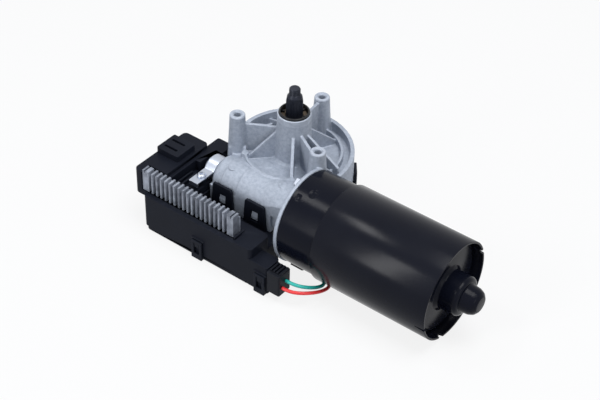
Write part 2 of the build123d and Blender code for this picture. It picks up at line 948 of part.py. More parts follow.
def inner_ribs():
    hub = tower_radius - 1.5
    roof = -roof_drop
    ribs = [
        rib_to(boss_left, -6.5, -7.0),
        rib_to(boss_front, -4.5, -7.5),
        rib_to(boss_rear, -3.0, -2.5),
        rib(225, hub, -5.5, lip_radius, roof + 1.0),
        rib(-54.5, hub, -4.0, lip_radius - 1, roof + 5.0),
        rib(0, hub, -5.0, lip_radius + 6, roof + 8.0),
        rib(64, hub, -8.0, lip_radius, roof + 3.0),
        rib(122, hub, -9.0, housing_radius - 2, roof + 4.0),
        rib(152, hub, -9.5, housing_radius - 2, roof + 4.0),
        rib(180, hub, -9.0, housing_radius - 2, roof + 4.0),
        web((27.5, -14.5), roof + 12, (31.0, -25.5), roof + 12, rib_thickness),
        boss_fin(),
    ]
    return ribs


def housing_nubs():
    """Catches on the skirt that snap into the windows of the tray's tabs."""
    reach = tab_thickness + 0.1
    face = -housing_front
    level = tab_window_level()
    catch = make_face(Polyline((0.8, -3.2), (-reach, -3.2), (-reach, 0), (-0.6, 3.2), (0.8, 3.2), close=True))
    nubs = []
    for x in tab_centres:
        plane = Plane(origin=(x - nub_width / 2, face, level), x_dir=(0, 1, 0), z_dir=(1, 0, 0))
        nubs.append(extrude(plane * catch, nub_width))
    for angle in side_tab_angles:
        plane = Plane(origin=(-nub_width / 2, -housing_radius, level), x_dir=(0, 1, 0), z_dir=(1, 0, 0))
        nubs.append(Rot(0, 0, angle + 90) * extrude(plane * catch, nub_width))
    return nubs


def tab_window_level():
    return -tab_top_drop - tab_window_drop


def gear_housing():
    """Die-cast housing: chamber, worm tunnel, motor flange, tower, bosses and ribs."""
    foot, roof = -parting_drop, -roof_drop
    left = -housing_left
    skirt = rod(housing_radius, foot, roof)
    skirt += Pos(0, 0, foot) * extrude(housing_outline(), -motor_axis_drop - foot)
    body = skirt + tunnel_shell()
    body -= rod(lip_radius, roof, 20)
    front_cut = block(left, flange_start(), -housing_front - 40, -housing_front, foot - 30, 0)
    ledge_cut = block(housing_right, flange_start(), -housing_front - 40, -housing_front + skirt_ledge_depth,
                      foot - 30, -skirt_ledge_drop)
    under_cut = block(left - 20, flange_start() - 3, -housing_front - 20, housing_radius + 5, foot - 30, foot)
    body -= [front_cut, ledge_cut, under_cut]
    body -= Pos(0, 0, foot - 30) * extrude(pan_outline(-fit_gap), 30)
    body += ring(lip_radius + 1.8, lip_radius, roof - 1, roof + lip_height)
    body += housing_rim()
    tower_foot = roof - 0.5
    tower = turned(
        [
            (0, tower_foot),
            (tower_base_radius + 1.5, tower_foot),
            (tower_base_radius, roof + 2),
            (tower_radius, tower_rise - 3),
            (tower_radius, tower_rise - 0.5),
            (tower_radius - 0.5, tower_rise),
            (0, tower_rise),
        ]
    )
    body += [tower] + inner_ribs() + roof_marks()
    body += [screw_boss(boss_left, -motor_axis_drop), screw_boss(boss_rear, roof - 0.5)]
    body += [screw_boss(boss_front, roof - 0.5)]
    body += housing_nubs()
    can_space = on_motor(rod(can_radius + 0.8, flange_face, flange_face + 20))
    body -= can_space
    body += on_motor(ring(can_inner_radius - 0.1, can_inner_radius - 3.2, flange_face - 1,
                          flange_face + spigot_length))
    body -= housing_cavity()
    body -= [boss_hole(place) for place in (boss_left, boss_front, boss_rear)]
    return body


def housing_cavity():
    """Everything taken out of the casting: chamber, pockets, bores and screw ways."""
    foot = -parting_drop
    seat = seal_seat()
    pocket_gap = housing_radius - cast_wall
    chamber = rod(chamber_radius, foot - 1, roof_under)
    inner_boss = rod(tower_base_radius - 1, lower_bush_foot(), roof_under)
    groove = ring(pocket_gap, chamber_radius + cast_wall, foot - 1, roof_under)
    groove -= block(-60, 60, -60, -14, foot - 2, 0)
    groove -= block(flange_start() - 6, 60, -60, 4, foot - 2, 0)
    bay = block(-housing_left + cast_wall + 2, housing_right - cast_wall, -housing_front + cast_wall,
                -centre_distance + 12, foot - 1, -motor_axis_drop - 1)
    tube = on_motor(rod(worm_tip_radius + 4.5, -housing_left - 1, flange_start()))
    worm_bore = rod(worm_tip_radius + 1.2, journal_start + journal_length + 0.5, bearing_start + 1)
    bush_bore = rod(journal_radius + end_bush_wall, journal_start + 0.5, journal_start + journal_length + 1)
    plug_way = rod(plug_bore(), -housing_left - neck_length - 1, journal_start + 1)
    bearing_bore = rod(bearing_radius, bearing_start, flange_face + 1)
    screw_ways = []
    for turn in (0, 180):
        hole = rod(screw_radius + 0.3, flange_start() - 1, flange_face + spigot_length + 1,
                   x=plate_screw_circle)
        spot = rod(5.0, flange_start() - 8, flange_start(), x=plate_screw_circle)
        screw_ways.append(on_motor(Rot(0, 0, plate_screw_angle + turn) * (hole + spot)))
    tower_bore = rod(bush_seat_radius, lower_bush_foot() - 1, seat + 1)
    tower_mouth = rod(seal_cap_radius + 0.1, seat, tower_rise + 1)
    mouth_of_can = Rot(0, 0, grommet_angle) * block(can_inner_radius - 6, can_inner_radius + 3, -3.6, 3.6,
                                                    flange_face, flange_face + 9)
    cuts = [chamber - inner_boss, groove, bay - tube, tower_bore, tower_mouth]
    cuts += [on_motor(shape) for shape in (worm_bore, bush_bore, plug_way, bearing_bore, mouth_of_can)]
    return cuts + screw_ways


# Electronics tray


def side_tab(width, top):
    """A snap tab with tapered shoulders and a window for its catch, in the YZ plane."""
    foot = -parting_drop - 1
    half = width / 2
    wide = half + tab_foot_spread
    shoulder = tab_shoulder
    outline = make_face(
        Polyline((-wide, foot), (-half, top - shoulder), (-half + shoulder, top), (half - shoulder, top),
                 (half, top - shoulder), (wide, foot), close=True)
    )
    level = tab_window_level()
    window = Pos(0, level - 0.2) * Rectangle(*tab_window)
    return extrude(Plane.XZ * (outline - window), tab_thickness)


def tray_tabs():
    tabs = [Pos(x, -housing_front - fit_gap, 0) * side_tab(tab_width, -tab_top_drop) for x in tab_centres]
    outer = -housing_radius - fit_gap - tab_thickness
    for angle in side_tab_angles:
        tab = Pos(0, -housing_radius - fit_gap, 0) * side_tab(side_tab_width, -tab_top_drop - 4)
        lug = block(-side_tab_width / 2, side_tab_width / 2, outer, -housing_radius + 1.2,
                    -pan_floor_drop + 1, -parting_drop - 1)
        tabs.append(Rot(0, 0, angle + 90) * (tab + lug))
    return tabs


def heat_sink_space(ease):
    right = sink_left + (fin_count - 1) * fin_pitch + fin_thickness
    back = fin_front + fin_depth + sink_plate
    return block(sink_left - ease, right + ease, fin_front - ease, back + ease, -sill_drop - 1, 0)


def sink_slot(ease):
    right = sink_left + (fin_count - 1) * fin_pitch + fin_thickness
    front = fin_front + fin_depth
    return block(box_left + box_wall + 1, right + ease, front - ease, front + sink_plate + ease,
                 -board_drop, 0)


def connector_block():
    """The raised left block with the vehicle socket and the latch hood on top."""
    top = -block_top_drop
    outer = slab(block_left, block_right, block_front, box_back_left, -block_bottom_drop, top, 3.5)
    hood_x0, hood_x1 = block_left + 0.6, block_left + 20
    hood_y0, hood_y1 = -57.0, -38.0
    hood = slab(hood_x0, hood_x1, hood_y0, hood_y1, top - 1, top + 5, 1.2)
    slot = block(hood_x0 + 3, hood_x1 - 5, -0.9, 0.9, top + 2.5, top + 6)
    return outer + hood - [Pos(0, y, 0) * slot for y in (-51.5, -43.5)]


def socket_middle():
    """Centre of the vehicle socket, in Y and Z."""
    return (block_front + box_back_left) / 2 + 5, -(block_top_drop + block_bottom_drop) / 2


def socket_space():
    middle_y, middle_z = socket_middle()
    x0 = block_left - 1
    return block(x0, block_left + socket_depth, middle_y - socket_width / 2, middle_y + socket_width / 2,
                 middle_z - socket_height / 2, middle_z + socket_height / 2)


def electronics_tray():
    """Moulded tray: electronics box in front, gear chamber pan behind, tabs and sockets."""
    wall = box_wall
    top = -box_top_drop
    back = -housing_front - fit_gap
    pan_top = -parting_drop - 1.0
    right_lip = sink_left + (fin_count - 1) * fin_pitch + fin_thickness + 3

    box = slab(box_left, box_right, box_front, back, box_floor, -shelf_drop, 3.0)
    box += slab(box_left, box_right, box_front, ledge_back, box_floor, top, 3.0)
    box -= slab(box_left - 1, right_lip + 0.5, box_front - 1, fin_front + fin_depth, -sill_drop, top + 1, 0.5)
    wing = slab(box_left, -housing_left - 1.5, box_front + 6, box_back_left, box_floor,
                -block_bottom_drop + 3, 3.0)
    deck = slab(block_right - 2, -housing_left - 2.5, fin_front + fin_depth + sink_plate + 0.8,
                box_back_left, -block_bottom_drop, -mid_deck_drop, 1.5)
    deck -= block(-53.0, -30.0, -80.0, deck_front, -clip_deck_drop, 0)
    deck += slab(block_right - 2, deck_front, box_back_left - 8, deck_tail_back, -block_bottom_drop,
                 -mid_deck_drop, 1.5)
    plug_block = slab(plug_block_left - 4, plug_block_right, box_front, plug_block_back, box_floor,
                      -plug_block_drop, 2.0)
    pan = Pos(0, 0, -pan_floor_drop) * extrude(pan_outline(), pan_top + pan_floor_drop)
    bridge = block(-housing_left, housing_right, back - 1, -housing_front + 0.5, -pan_floor_drop, pan_top)
    shell = box + wing + connector_block() + deck + plug_block + pan + bridge
    shell += ring_lip(right_lip)
    shell -= heat_sink_space(0.4)
    shell -= block(sink_left - 0.4, block_right + 1, block_front - 1, fin_front, -sill_drop, 0)
    shell -= tray_cavities(wall, back)
    shell -= sink_slot(0.3)
    shell -= pin_blades()
    shell -= on_motor(rod(neck_radius + 1.2 + clip_sheet, -housing_left - neck_length - 3, -housing_left))
    shell += tray_tabs() + tray_latches() + board_posts()
    post_x, post_y = clip_post
    shell += rod(3.6, -clip_deck_drop - 4, -clip_foot_drop, x=post_x, y=post_y)
    shell += [block(x - 0.7, x + 0.7, -71.0, -49.0, -clip_deck_drop - 1,
                    -clip_deck_drop + 3.2) for x in (-51.5, -47.8)]
    shell -= rod(1.6, -clip_deck_drop - 2, 0, x=post_x, y=post_y)
    return shell


def ring_lip(right_lip):
    """A small raised frame round the lower right end of the fins."""
    front = fin_front - 1.6
    side = block(right_lip - 1.6, right_lip, front, fin_front + fin_depth + 3, -sill_drop, -sill_drop + 2.6)
    return side


def tray_cavities(wall, back):
    floor = -pan_floor_drop + wall
    room = slab(box_left + wall, box_right - wall, box_front + wall, back - wall, box_floor - 1,
                -shelf_drop - wall, 2.0)
    tall_room = slab(box_left + wall, box_right - wall, box_front + wall, ledge_back - wall, box_floor - 1,
                     -sill_drop - wall, 2.0)
    riser = block(riser_start() - 1.6, riser_start() + 3.6, socket_middle()[0] - 9, socket_middle()[0] + 9,
                  -block_bottom_drop - 2, -block_top_drop - 5)
    wing_room = slab(box_left + wall, -housing_left - 3.5, box_front + 8, box_back_left - wall,
                     box_floor - 1, -block_bottom_drop - 1, 2.0)
    doorway = block(doorway_span[0], doorway_span[1], back - wall - 1, -housing_front + 6, -board_drop - 3,
                    -board_drop + 3.4)
    pan_room = Pos(0, 0, floor) * extrude(pan_outline(wall + 0.8), 20)
    plug_room = block(plug_block_left - 5, plug_block_right - wall, box_front + wall,
                      plug_block_back - wall, box_floor - 1, -plug_block_drop - wall)
    plug_mouth = block(plug_block_right - wall - 1, plug_block_right + 1, plug_front + 3.4, plug_back - 2.2,
                       -plug_bottom_drop + 3, -plug_top_drop - 3)
    return [room, tall_room, riser, wing_room, doorway, pan_room, plug_room, plug_mouth, socket_space()]


def board_posts():
    """Posts that hold the board: down from the box's ceiling, and up from the pan's floor."""
    posts = []
    for x, y in box_standoffs:
        ceiling = -block_bottom_drop if x < -housing_left else -shelf_drop - 1
        posts.append(rod(standoff_radius, -board_drop, ceiling, x=x, y=y))
    under = -board_drop - board_thickness
    posts += [rod(standoff_radius, -pan_floor_drop + 1, under, x=x, y=y) for x, y in pan_standoffs]
    return posts


def latch_window(x, ease):
    """The opening of a hook's frame, made smaller all round by the ease."""
    half = latch_width / 2 - latch_rim - ease
    return (x - half, x + half), (-hook_top_drop - 11.3 + ease, -hook_top_drop - 2.4 - ease)


def tray_latches():
    """A catch for each hook of the bottom cover, and a small ledge above it."""
    plates = []
    for x in latch_centres:
        (x0, x1), (low, high) = latch_window(x, 0.3)
        catch = block(x0, x1, box_front - 1.6, box_front + 0.5, high - 4.0, high)
        catch -= Pos(x, box_front - 1.6, high - 4.0) * Rot(45, 0, 0) * Box(x1 - x0 + 1, 1.6, 1.6)
        ledge = block(x - latch_width / 2 - 1, x + latch_width / 2 + 1, box_front - 0.9, box_front + 0.5,
                      -hook_top_drop + 0.4, -hook_top_drop + 1.4)
        plates += [catch, ledge]
    return plates


def bottom_cover():
    """Lid under the electronics box, with framed hooks that rise over the front wall."""
    inset, corner = cover_inset, 4.0
    height = cover_height
    low = -base_drop
    wing_right = -housing_left - 1.5
    plug_x0 = plug_block_left - 4
    back = -housing_front - fit_gap
    lid = slab(box_left + inset, box_right - inset, box_front + inset, back - inset, low, low + height,
               corner)
    lid += slab(box_left + inset, wing_right, box_front + 6, box_back_left - inset, low, low + height, corner)
    lid += slab(plug_x0, plug_block_right - inset, box_front + inset, plug_block_back - inset,
                low, low + height, 2.0)
    hooks = []
    for x in latch_centres:
        (x0, x1), (window_low, window_high) = latch_window(x, 0)
        left, right = x - latch_width / 2, x + latch_width / 2
        hook = block(left, right, box_front - 2.0, box_front - 0.3, low, -hook_top_drop)
        window = block(x0, x1, box_front - 3, box_front + 1, window_low, window_high)
        foot = block(left, right, box_front - 2.0, box_front + 2, low, low + height - 0.3)
        hooks.append(hook - window + foot)
    under = -board_drop - board_thickness
    pegs = [rod(standoff_radius, box_floor - 1, under, x=x, y=y) for x, y in box_standoffs]
    return lid + hooks + pegs


def heat_sink():
    """Finned aluminium plate: fins stand in front, and its foot reaches into the box."""
    right = sink_left + (fin_count - 1) * fin_pitch + fin_thickness
    back = fin_front + fin_depth
    top = -fin_top_drop
    plate = block(sink_left, right, back, back + sink_plate, top - fin_height, top - sink_plate_step)
    foot = block(box_left + box_wall + 2, right, back, back + sink_plate, -board_drop + 2,
                 top - fin_height + 1)
    shape = plate + foot
    for k in range(fin_count):
        x = sink_left + k * fin_pitch
        first, last = k == 0, k == fin_count - 1
        wide = fin_thickness + (2.6 if first or last else 0)
        x0 = x - 2.6 if last else x
        fin = block(x0, x0 + wide, fin_front, back + 0.5, top - fin_height + 0.6, top)
        if first or last:
            fin -= block(x0 + wide / 2 - 0.6, x0 + wide / 2 + 0.6, fin_front - 1, back + 1, top - 2.2,
                         top + 1)
        shape += fin
    return shape


def circuit_board():
    top = -board_drop
    front = slab(box_left + box_wall + 1, box_right - box_wall - 1, box_front + box_wall + 1,
                 -housing_front - fit_gap - box_wall - 0.6, top - board_thickness, top, 1.5)
    neck = block(doorway_span[0] + 1, doorway_span[1] - 1, -housing_front - 6, -housing_front + 12,
                 top - board_thickness, top)
    tongue = slab(-18, 14, -housing_front + 6, 14, top - board_thickness, top, 1.5)
    wing = slab(box_left + box_wall + 1, -housing_left - 7, box_front + 12, box_back_left - box_wall - 6,
                top - board_thickness, top, 1.5)
    return front + neck + tongue + wing


def power_transistors():
    """Four flat transistors clamped to the back of the heat sink's foot."""
    back = fin_front + fin_depth + sink_plate
    half, thin = transistor_width / 2, transistor_leg / 2
    bodies = []
    for x in transistor_places:
        body = block(x - half, x + half, back, back + transistor_depth,
                     -board_drop + 2.5, -sill_drop - box_wall - 0.4)
        legs = []
        for side in (-1, 0, 1):
            middle = x + side * transistor_leg_pitch
            leg = block(middle - thin, middle + thin, back + 1.8, back + 2.6, -board_drop, -board_drop + 3)
            legs.append(leg)
        bodies.append(body + legs)
    return Compound(children=bodies)


def capacitors():
    """Two upright electrolytic capacitors on the board, each with its crimped bead."""
    radius, top = capacitor_radius, capacitor_height
    can = turned(
        [
            (0, 0),
            (radius - 0.2, 0),
            (radius, 0.4),
            (radius, 1.4),
            (radius - 0.4, 1.9),
            (radius, 2.4),
            (radius, top - 0.4),
            (radius - 0.4, top),
            (0, top),
        ]
    )
    return Compound(children=[Pos(x, y, -board_drop) * can for x, y in capacitor_places])


def control_chips():
    """Controller and the sensor that reads the magnet on the output shaft."""
    top = -board_drop
    controller = block(*controller_box, top, top + controller_height)
    side, front = sensor_width / 2, sensor_depth / 2
    sensor = block(-side, side, -front, front, top, top + sensor_height)
    return Compound(children=[controller, sensor])


def connector_pins():
    """Two rows of blades in the vehicle socket, bent down to the board."""
    return Compound(children=pin_blades())


def riser_start():
    return block_left + socket_depth + 2


def pin_blades():
    middle_y, middle_z = socket_middle()
    back = block_left + socket_depth
    pins = []
    for row in (-1, 1):
        turn = riser_start() + 1.2 + row
        for column in range(4):
            y = middle_y + (column - 1.5) * 4.4
            z = middle_z + row * 2.3
            blade = block(back - 9, turn, y - 0.6, y + 0.6, z - 0.4, z + 0.4)
            leg = block(turn - 0.8, turn, y - 0.6, y + 0.6, -board_drop, z + 0.4)
            pins.append(blade + leg)
    return pins


def housing_gasket():
    top = -parting_drop
    outline = pan_outline(0.3) - pan_outline(box_wall + 0.6)
    return Pos(0, 0, top - 1.0) * extrude(outline, 1.0)


# Earth clip and leads


def arc(centre, radius, first, last):
    """A circular arc between two angles, from the first to the last."""
    places = []
    for angle in (first, (first + last) / 2, last):
        turn = math.radians(angle)
        places.append((centre[0] + radius * math.cos(turn), centre[1] + radius * math.sin(turn)))
    return ThreePointArc(*places)


def earth_clip():
    """Bright strip bent over the tunnel neck and down to a flat foot under its screw."""
    inner = neck_radius + 0.05
    outer = inner + clip_sheet
    middle = (inner + outer) / 2
    half = clip_sheet / 2
    level = motor_axis_drop - clip_foot_drop + half
    bend_y = level + clip_bend_radius
    bend_x = -math.sqrt((middle + clip_bend_radius) ** 2 - bend_y ** 2)
    leave = math.degrees(math.atan2(bend_y, bend_x))
    foot_x = clip_post[1] + centre_distance - 9.0
    small, large = clip_bend_radius - half, clip_bend_radius + half
    bend = (bend_x, bend_y)
    edges = [
        arc((0, 0), outer, clip_back_angle, leave),
        arc(bend, small, leave - 180, -90),
        Line((bend_x, level + half), (foot_x, level + half)),
        Line((foot_x, level + half), (foot_x, level - half)),
        Line((foot_x, level - half), (bend_x, level - half)),
        arc(bend, large, -90, leave - 180),
        arc((0, 0), inner, leave, clip_back_angle),
        Line(arc((0, 0), inner, leave, clip_back_angle) @ 1, arc((0, 0), outer, clip_back_angle, leave) @ 0),
    ]
    x0 = -housing_left - neck_length + 2.0
    strip = Pos(0, 0, x0) * extrude(make_face(edges), clip_width)
    hole_x = clip_post[1] + centre_distance
    hem = block(foot_x, foot_x + clip_sheet, level - 3.0, level, x0, x0 + clip_width)
    hole = Pos(hole_x, 0, clip_post[0]) * Rot(90, 0, 0) * extrude(Circle(2.0), 20, both=True)
    return on_motor(strip + hem - hole)


def clip_screw():
    """Pan head screw with a cross recess, down into the tray's post."""
    x, y = clip_post
    seat = -clip_foot_drop + clip_sheet
    shank = rod(1.5, -clip_deck_drop - 1.8, seat, x=x, y=y)
    head = Pos(x, y, seat) * turned([(0, 0), (3.3, 0), (3.3, 0.9), (2.4, 1.9), (0, 2.3)])
    recess = [Pos(x, y, seat + 1.8) * Rot(0, 0, turn) * Box(3.2, 0.8, 1.8) for turn in (0, 90)]
    return shank + head - recess


def motor_lead_plug():
    """Two-way plug on the box's right end, with a ribbed back."""
    body = slab(plug_left, plug_right, plug_front, plug_back, -plug_bottom_drop, -plug_top_drop - 2, 1.2)
    for k in range(4):
        x = plug_left + 1.5 + 2.6 * k
        body += block(x, x + 1.3, plug_front + 2, plug_back - 1.5, -plug_top_drop - 3, -plug_top_drop)
    nose = block(plug_block_right - 1.5, plug_left + 1, plug_front + 3.7, plug_back - 2.5,
                 -plug_bottom_drop + 3.3, -plug_top_drop - 3.3)
    return body + nose


def lead(points):
    """A round lead on straight runs joined by arcs as large as the runs allow."""
    radii = []
    for before, here, after in zip(points, points[1:], points[2:]):
        a, b = Vector(*here) - Vector(*before), Vector(*after) - Vector(*here)
        turn = math.radians(a.get_angle(b))
        radii.append(0.45 * min(a.length, b.length) / math.tan(turn / 2))
    path = FilletPolyline(*points, radius=radii)
    section = Plane(origin=path @ 0, z_dir=path % 0) * Circle(lead_diameter / 2)
    tube = sweep(section, path=path)
    wanted = math.pi * lead_diameter ** 2 / 4 * path.length
    ratio = tube.volume / wanted
    print(f"lead: length {path.length:.1f}, volume ratio {ratio:.4f}, least radius {min(radii):.1f}")
    return tube


def red_lead():
    y, z = lead_exit_red
    return lead([(plug_right, y, z), (59.6, y, z), (65.4, -79.0, -66.6), (70.6, -74.2, -67.2),
                 (74.2, -67.8, -68.8), (75.4, -60.4, -71.2), (73.8, -53.4, -74.0), (69.4, -48.2, -76.0),
                 (63.2, -45.7, -76.1), (56.4, -45.2, -75.6), (grommet_face(), -45.2, -75.6)])


def green_lead():
    y, z = lead_exit_green
    return lead([(plug_right, y, z), (59.6, y, z), (65.0, -75.6, -63.2), (69.6, -71.0, -65.0),
                 (72.0, -64.9, -67.7), (71.8, -58.4, -70.8), (69.0, -53.0, -73.6), (63.8, -50.0, -74.4),
                 (56.0, -49.2, -73.9), (grommet_face(), -49.2, -73.9)])


def grommet_face():
    """Where the leads leave the boot, towards the closed end of the motor."""
    return flange_face + 0.2 + 10


nodes = {
    "gear_housing": gear_housing,
    "upper_shaft_bush": lambda: shaft_bush(upper_bush_foot()),
    "lower_shaft_bush": lambda: shaft_bush(lower_bush_foot()),
    "output_shaft": output_shaft,
    "shaft_washer": shaft_washer,
    "shaft_circlip": shaft_circlip,
    "seal_cap": seal_cap,
    "felt_washer": felt_washer,
    "thrust_washer": thrust_washer,
    "worm_wheel": worm_wheel,
    "wheel_hub": wheel_hub,
    "position_magnet": position_magnet,
    "armature_shaft": armature_shaft,
    "armature_core": armature_core,
    "armature_windings": armature_windings,
    "commutator_core": commutator_core,
    "commutator_bars": commutator_bars,
    "bearing_outer_ring": lambda: bearing_ring(bearing_radius, bearing_ball_circle + 1.4),
    "bearing_inner_ring": lambda: bearing_ring(bearing_ball_circle - 1.4, motor_shaft_radius),
    "bearing_balls": bearing_balls,
    "bearing_retainer": bearing_retainer,
    "worm_end_bush": worm_end_bush,
    "thrust_ball": thrust_ball,
    "thrust_plug": thrust_plug,
    "rear_bush": rear_bush,
    "rear_bush_retainer": rear_bush_retainer,
    "motor_can": motor_can,
    "lead_grommet": lead_grommet,
    "flux_ring": flux_ring,
    "field_magnets": field_magnets,
    "magnet_springs": magnet_springs,
    "brush_plate": brush_plate,
    "carbon_brushes": carbon_brushes,
    "brush_springs": brush_springs,
    "choke_coils": choke_coils,
    "plate_screws": plate_screws,
    "electronics_tray": electronics_tray,
    "bottom_cover": bottom_cover,
    "heat_sink": heat_sink,
    "circuit_board": circuit_board,
    "power_transistors": power_transistors,
    "capacitors": capacitors,
    "control_chips": control_chips,
    "connector_pins": connector_pins,
    "housing_gasket": housing_gasket,
    "earth_clip": earth_clip,
    "clip_screw": clip_screw,
    "motor_lead_plug": motor_lead_plug,
    "red_lead": red_lead,
    "green_lead": green_lead,
}

os.makedirs("parts", exist_ok=True)
for name, make in nodes.items():
    export_step(make(), f"parts/{name}.step")
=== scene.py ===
import math

import bmesh
import bpy
from mathutils import Matrix, Vector


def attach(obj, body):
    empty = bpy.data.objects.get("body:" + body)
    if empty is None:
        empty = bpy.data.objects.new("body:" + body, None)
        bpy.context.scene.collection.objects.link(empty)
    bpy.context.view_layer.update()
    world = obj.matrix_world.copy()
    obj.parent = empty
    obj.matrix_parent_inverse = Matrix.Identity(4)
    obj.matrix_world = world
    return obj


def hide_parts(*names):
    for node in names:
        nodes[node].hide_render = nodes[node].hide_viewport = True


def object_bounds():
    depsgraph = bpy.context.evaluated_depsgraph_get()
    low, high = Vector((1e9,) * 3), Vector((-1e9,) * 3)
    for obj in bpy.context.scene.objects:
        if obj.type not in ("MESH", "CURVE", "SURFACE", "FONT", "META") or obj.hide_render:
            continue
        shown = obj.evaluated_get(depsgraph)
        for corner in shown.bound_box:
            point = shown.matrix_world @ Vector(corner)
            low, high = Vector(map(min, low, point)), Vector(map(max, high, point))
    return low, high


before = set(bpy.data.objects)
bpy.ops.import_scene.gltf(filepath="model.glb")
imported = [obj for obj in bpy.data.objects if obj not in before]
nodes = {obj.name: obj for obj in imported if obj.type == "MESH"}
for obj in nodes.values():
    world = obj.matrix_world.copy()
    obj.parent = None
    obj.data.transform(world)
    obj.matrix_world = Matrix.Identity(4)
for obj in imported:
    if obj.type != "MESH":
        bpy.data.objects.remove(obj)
cadLow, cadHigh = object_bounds()
mm = 0.001

# The motor runs along X, below and in front of the output shaft
motorAxis = Vector((0, -35, -41.5)) * mm

print("camera")

cameraView = {
    "place": (0.4851, -0.6437, 0.5982),
    "azimuth": 36.6,
    "elevation": 39.7,
    "roll": 1.7,
    "lens": 87.12,
    "sensor": 36,
    "clip": (0.01, 20),
}


def makeCamera():
    data = bpy.data.cameras.new("photoCamera")
    data.sensor_width = cameraView["sensor"]
    data.lens = cameraView["lens"]
    data.clip_start, data.clip_end = cameraView["clip"]
    camera = bpy.data.objects.new("photoCamera", data)
    bpy.context.scene.collection.objects.link(camera)
    turn = Matrix.Rotation(math.radians(cameraView["azimuth"]), 4, "Z")
    turn @= Matrix.Rotation(math.radians(90 - cameraView["elevation"]), 4, "X")
    turn @= Matrix.Rotation(math.radians(cameraView["roll"]), 4, "Z")
    camera.matrix_world = Matrix.Translation(cameraView["place"]) @ turn
    bpy.context.scene.camera = camera


makeCamera()

print("shader groups")


def newGroup(name, inputs, outputs):
    group = bpy.data.node_groups.new(name, "ShaderNodeTree")
    for label, kind, value in inputs:
        socket = group.interface.new_socket(label, in_out="INPUT", socket_type=kind)
        socket.default_value = value
    for label, kind in outputs:
        group.interface.new_socket(label, in_out="OUTPUT", socket_type=kind)
    into = group.nodes.new("NodeGroupInput")
    out = group.nodes.new("NodeGroupOutput")
    return group, into, out


def addNode(tree, kind, **settings):
    node = tree.nodes.new(kind)
    for key, value in settings.items():
        setattr(node, key, value)
    return node


def ramp(tree, source, places, colors):
    node = addNode(tree, "ShaderNodeValToRGB")
    for element, position, color in zip(node.color_ramp.elements, places, colors):
        element.position = position
        element.color = (*color, 1)
    tree.links.new(source, node.inputs["Fac"])
    return node.outputs["Color"]


grainLook = {"fineDetail": 4, "fineRoughness": 0.6, "broadDetail": 5, "broadRoughness": 0.65,
             "toneRange": (0.3, 0.7)}


def grainGroup():
    # Two layers of noise: a fine skin for bump and a broad mottle for colour and gloss
    group, into, out = newGroup(
        "surfaceGrain",
        [("Fine Scale", "NodeSocketFloat", 900.0), ("Broad Scale", "NodeSocketFloat", 60.0)],
        [("Skin", "NodeSocketFloat"), ("Mottle", "NodeSocketFloat")],
    )
    place = addNode(group, "ShaderNodeTexCoord")
    for layer, scale, result in (("fine", "Fine Scale", "Skin"), ("broad", "Broad Scale", "Mottle")):
        noise = addNode(group, "ShaderNodeTexNoise")
        noise.inputs["Detail"].default_value = grainLook[layer + "Detail"]
        noise.inputs["Roughness"].default_value = grainLook[layer + "Roughness"]
        group.links.new(place.outputs["Object"], noise.inputs["Vector"])
        group.links.new(into.outputs[scale], noise.inputs["Scale"])
        group.links.new(noise.outputs["Fac"], out.inputs[result])
    return group


# Pointiness at which the painted edge highlight starts and is full, and the scale that breaks it up
edgeHighlightLook = {"start": 0.52, "full": 0.62, "breakUp": 220}


def edgeHighlightGroup():
    # Edges catch the light a little: pointiness, broken up by noise
    group, into, out = newGroup(
        "paintedEdgeHighlight",
        [("Amount", "NodeSocketFloat", 1.0)],
        [("Mask", "NodeSocketFloat")],
    )
    shape = addNode(group, "ShaderNodeNewGeometry")
    spread = addNode(group, "ShaderNodeMapRange")
    spread.inputs["From Min"].default_value = edgeHighlightLook["start"]
    spread.inputs["From Max"].default_value = edgeHighlightLook["full"]
    group.links.new(shape.outputs["Pointiness"], spread.inputs["Value"])
    place = addNode(group, "ShaderNodeTexCoord")
    noise = addNode(group, "ShaderNodeTexNoise")
    noise.inputs["Scale"].default_value = edgeHighlightLook["breakUp"]
    group.links.new(place.outputs["Object"], noise.inputs["Vector"])
    broken = addNode(group, "ShaderNodeMath", operation="MULTIPLY")
    group.links.new(spread.outputs["Result"], broken.inputs[0])
    group.links.new(noise.outputs["Fac"], broken.inputs[1])
    scaled = addNode(group, "ShaderNodeMath", operation="MULTIPLY", use_clamp=True)
    group.links.new(broken.outputs["Value"], scaled.inputs[0])
    group.links.new(into.outputs["Amount"], scaled.inputs[1])
    group.links.new(scaled.outputs["Value"], out.inputs["Mask"])
    return group


surfaceGrain = grainGroup()
paintedEdgeHighlight = edgeHighlightGroup()

print("materials")


def mixIn(tree, mask, under, color):
    # A plain colour over another, where the mask says
    node = addNode(tree, "ShaderNodeMix", data_type="RGBA")
    factor, first, second = [s for s in node.inputs if s.enabled]
    tree.links.new(mask, factor)
    tree.links.new(under, first)
    second.default_value = (*color, 1)
    return [s for s in node.outputs if s.enabled][0]


def rangeOf(tree, source, low, high):
    node = addNode(tree, "ShaderNodeMapRange")
    node.inputs["To Min"].default_value = low
    node.inputs["To Max"].default_value = high
    tree.links.new(source, node.inputs["Value"])
    return node.outputs["Result"]


plainFinish = {"metal": 0, "specular": 0.5, "depth": 0.0002, "edgeHighlight": 0}


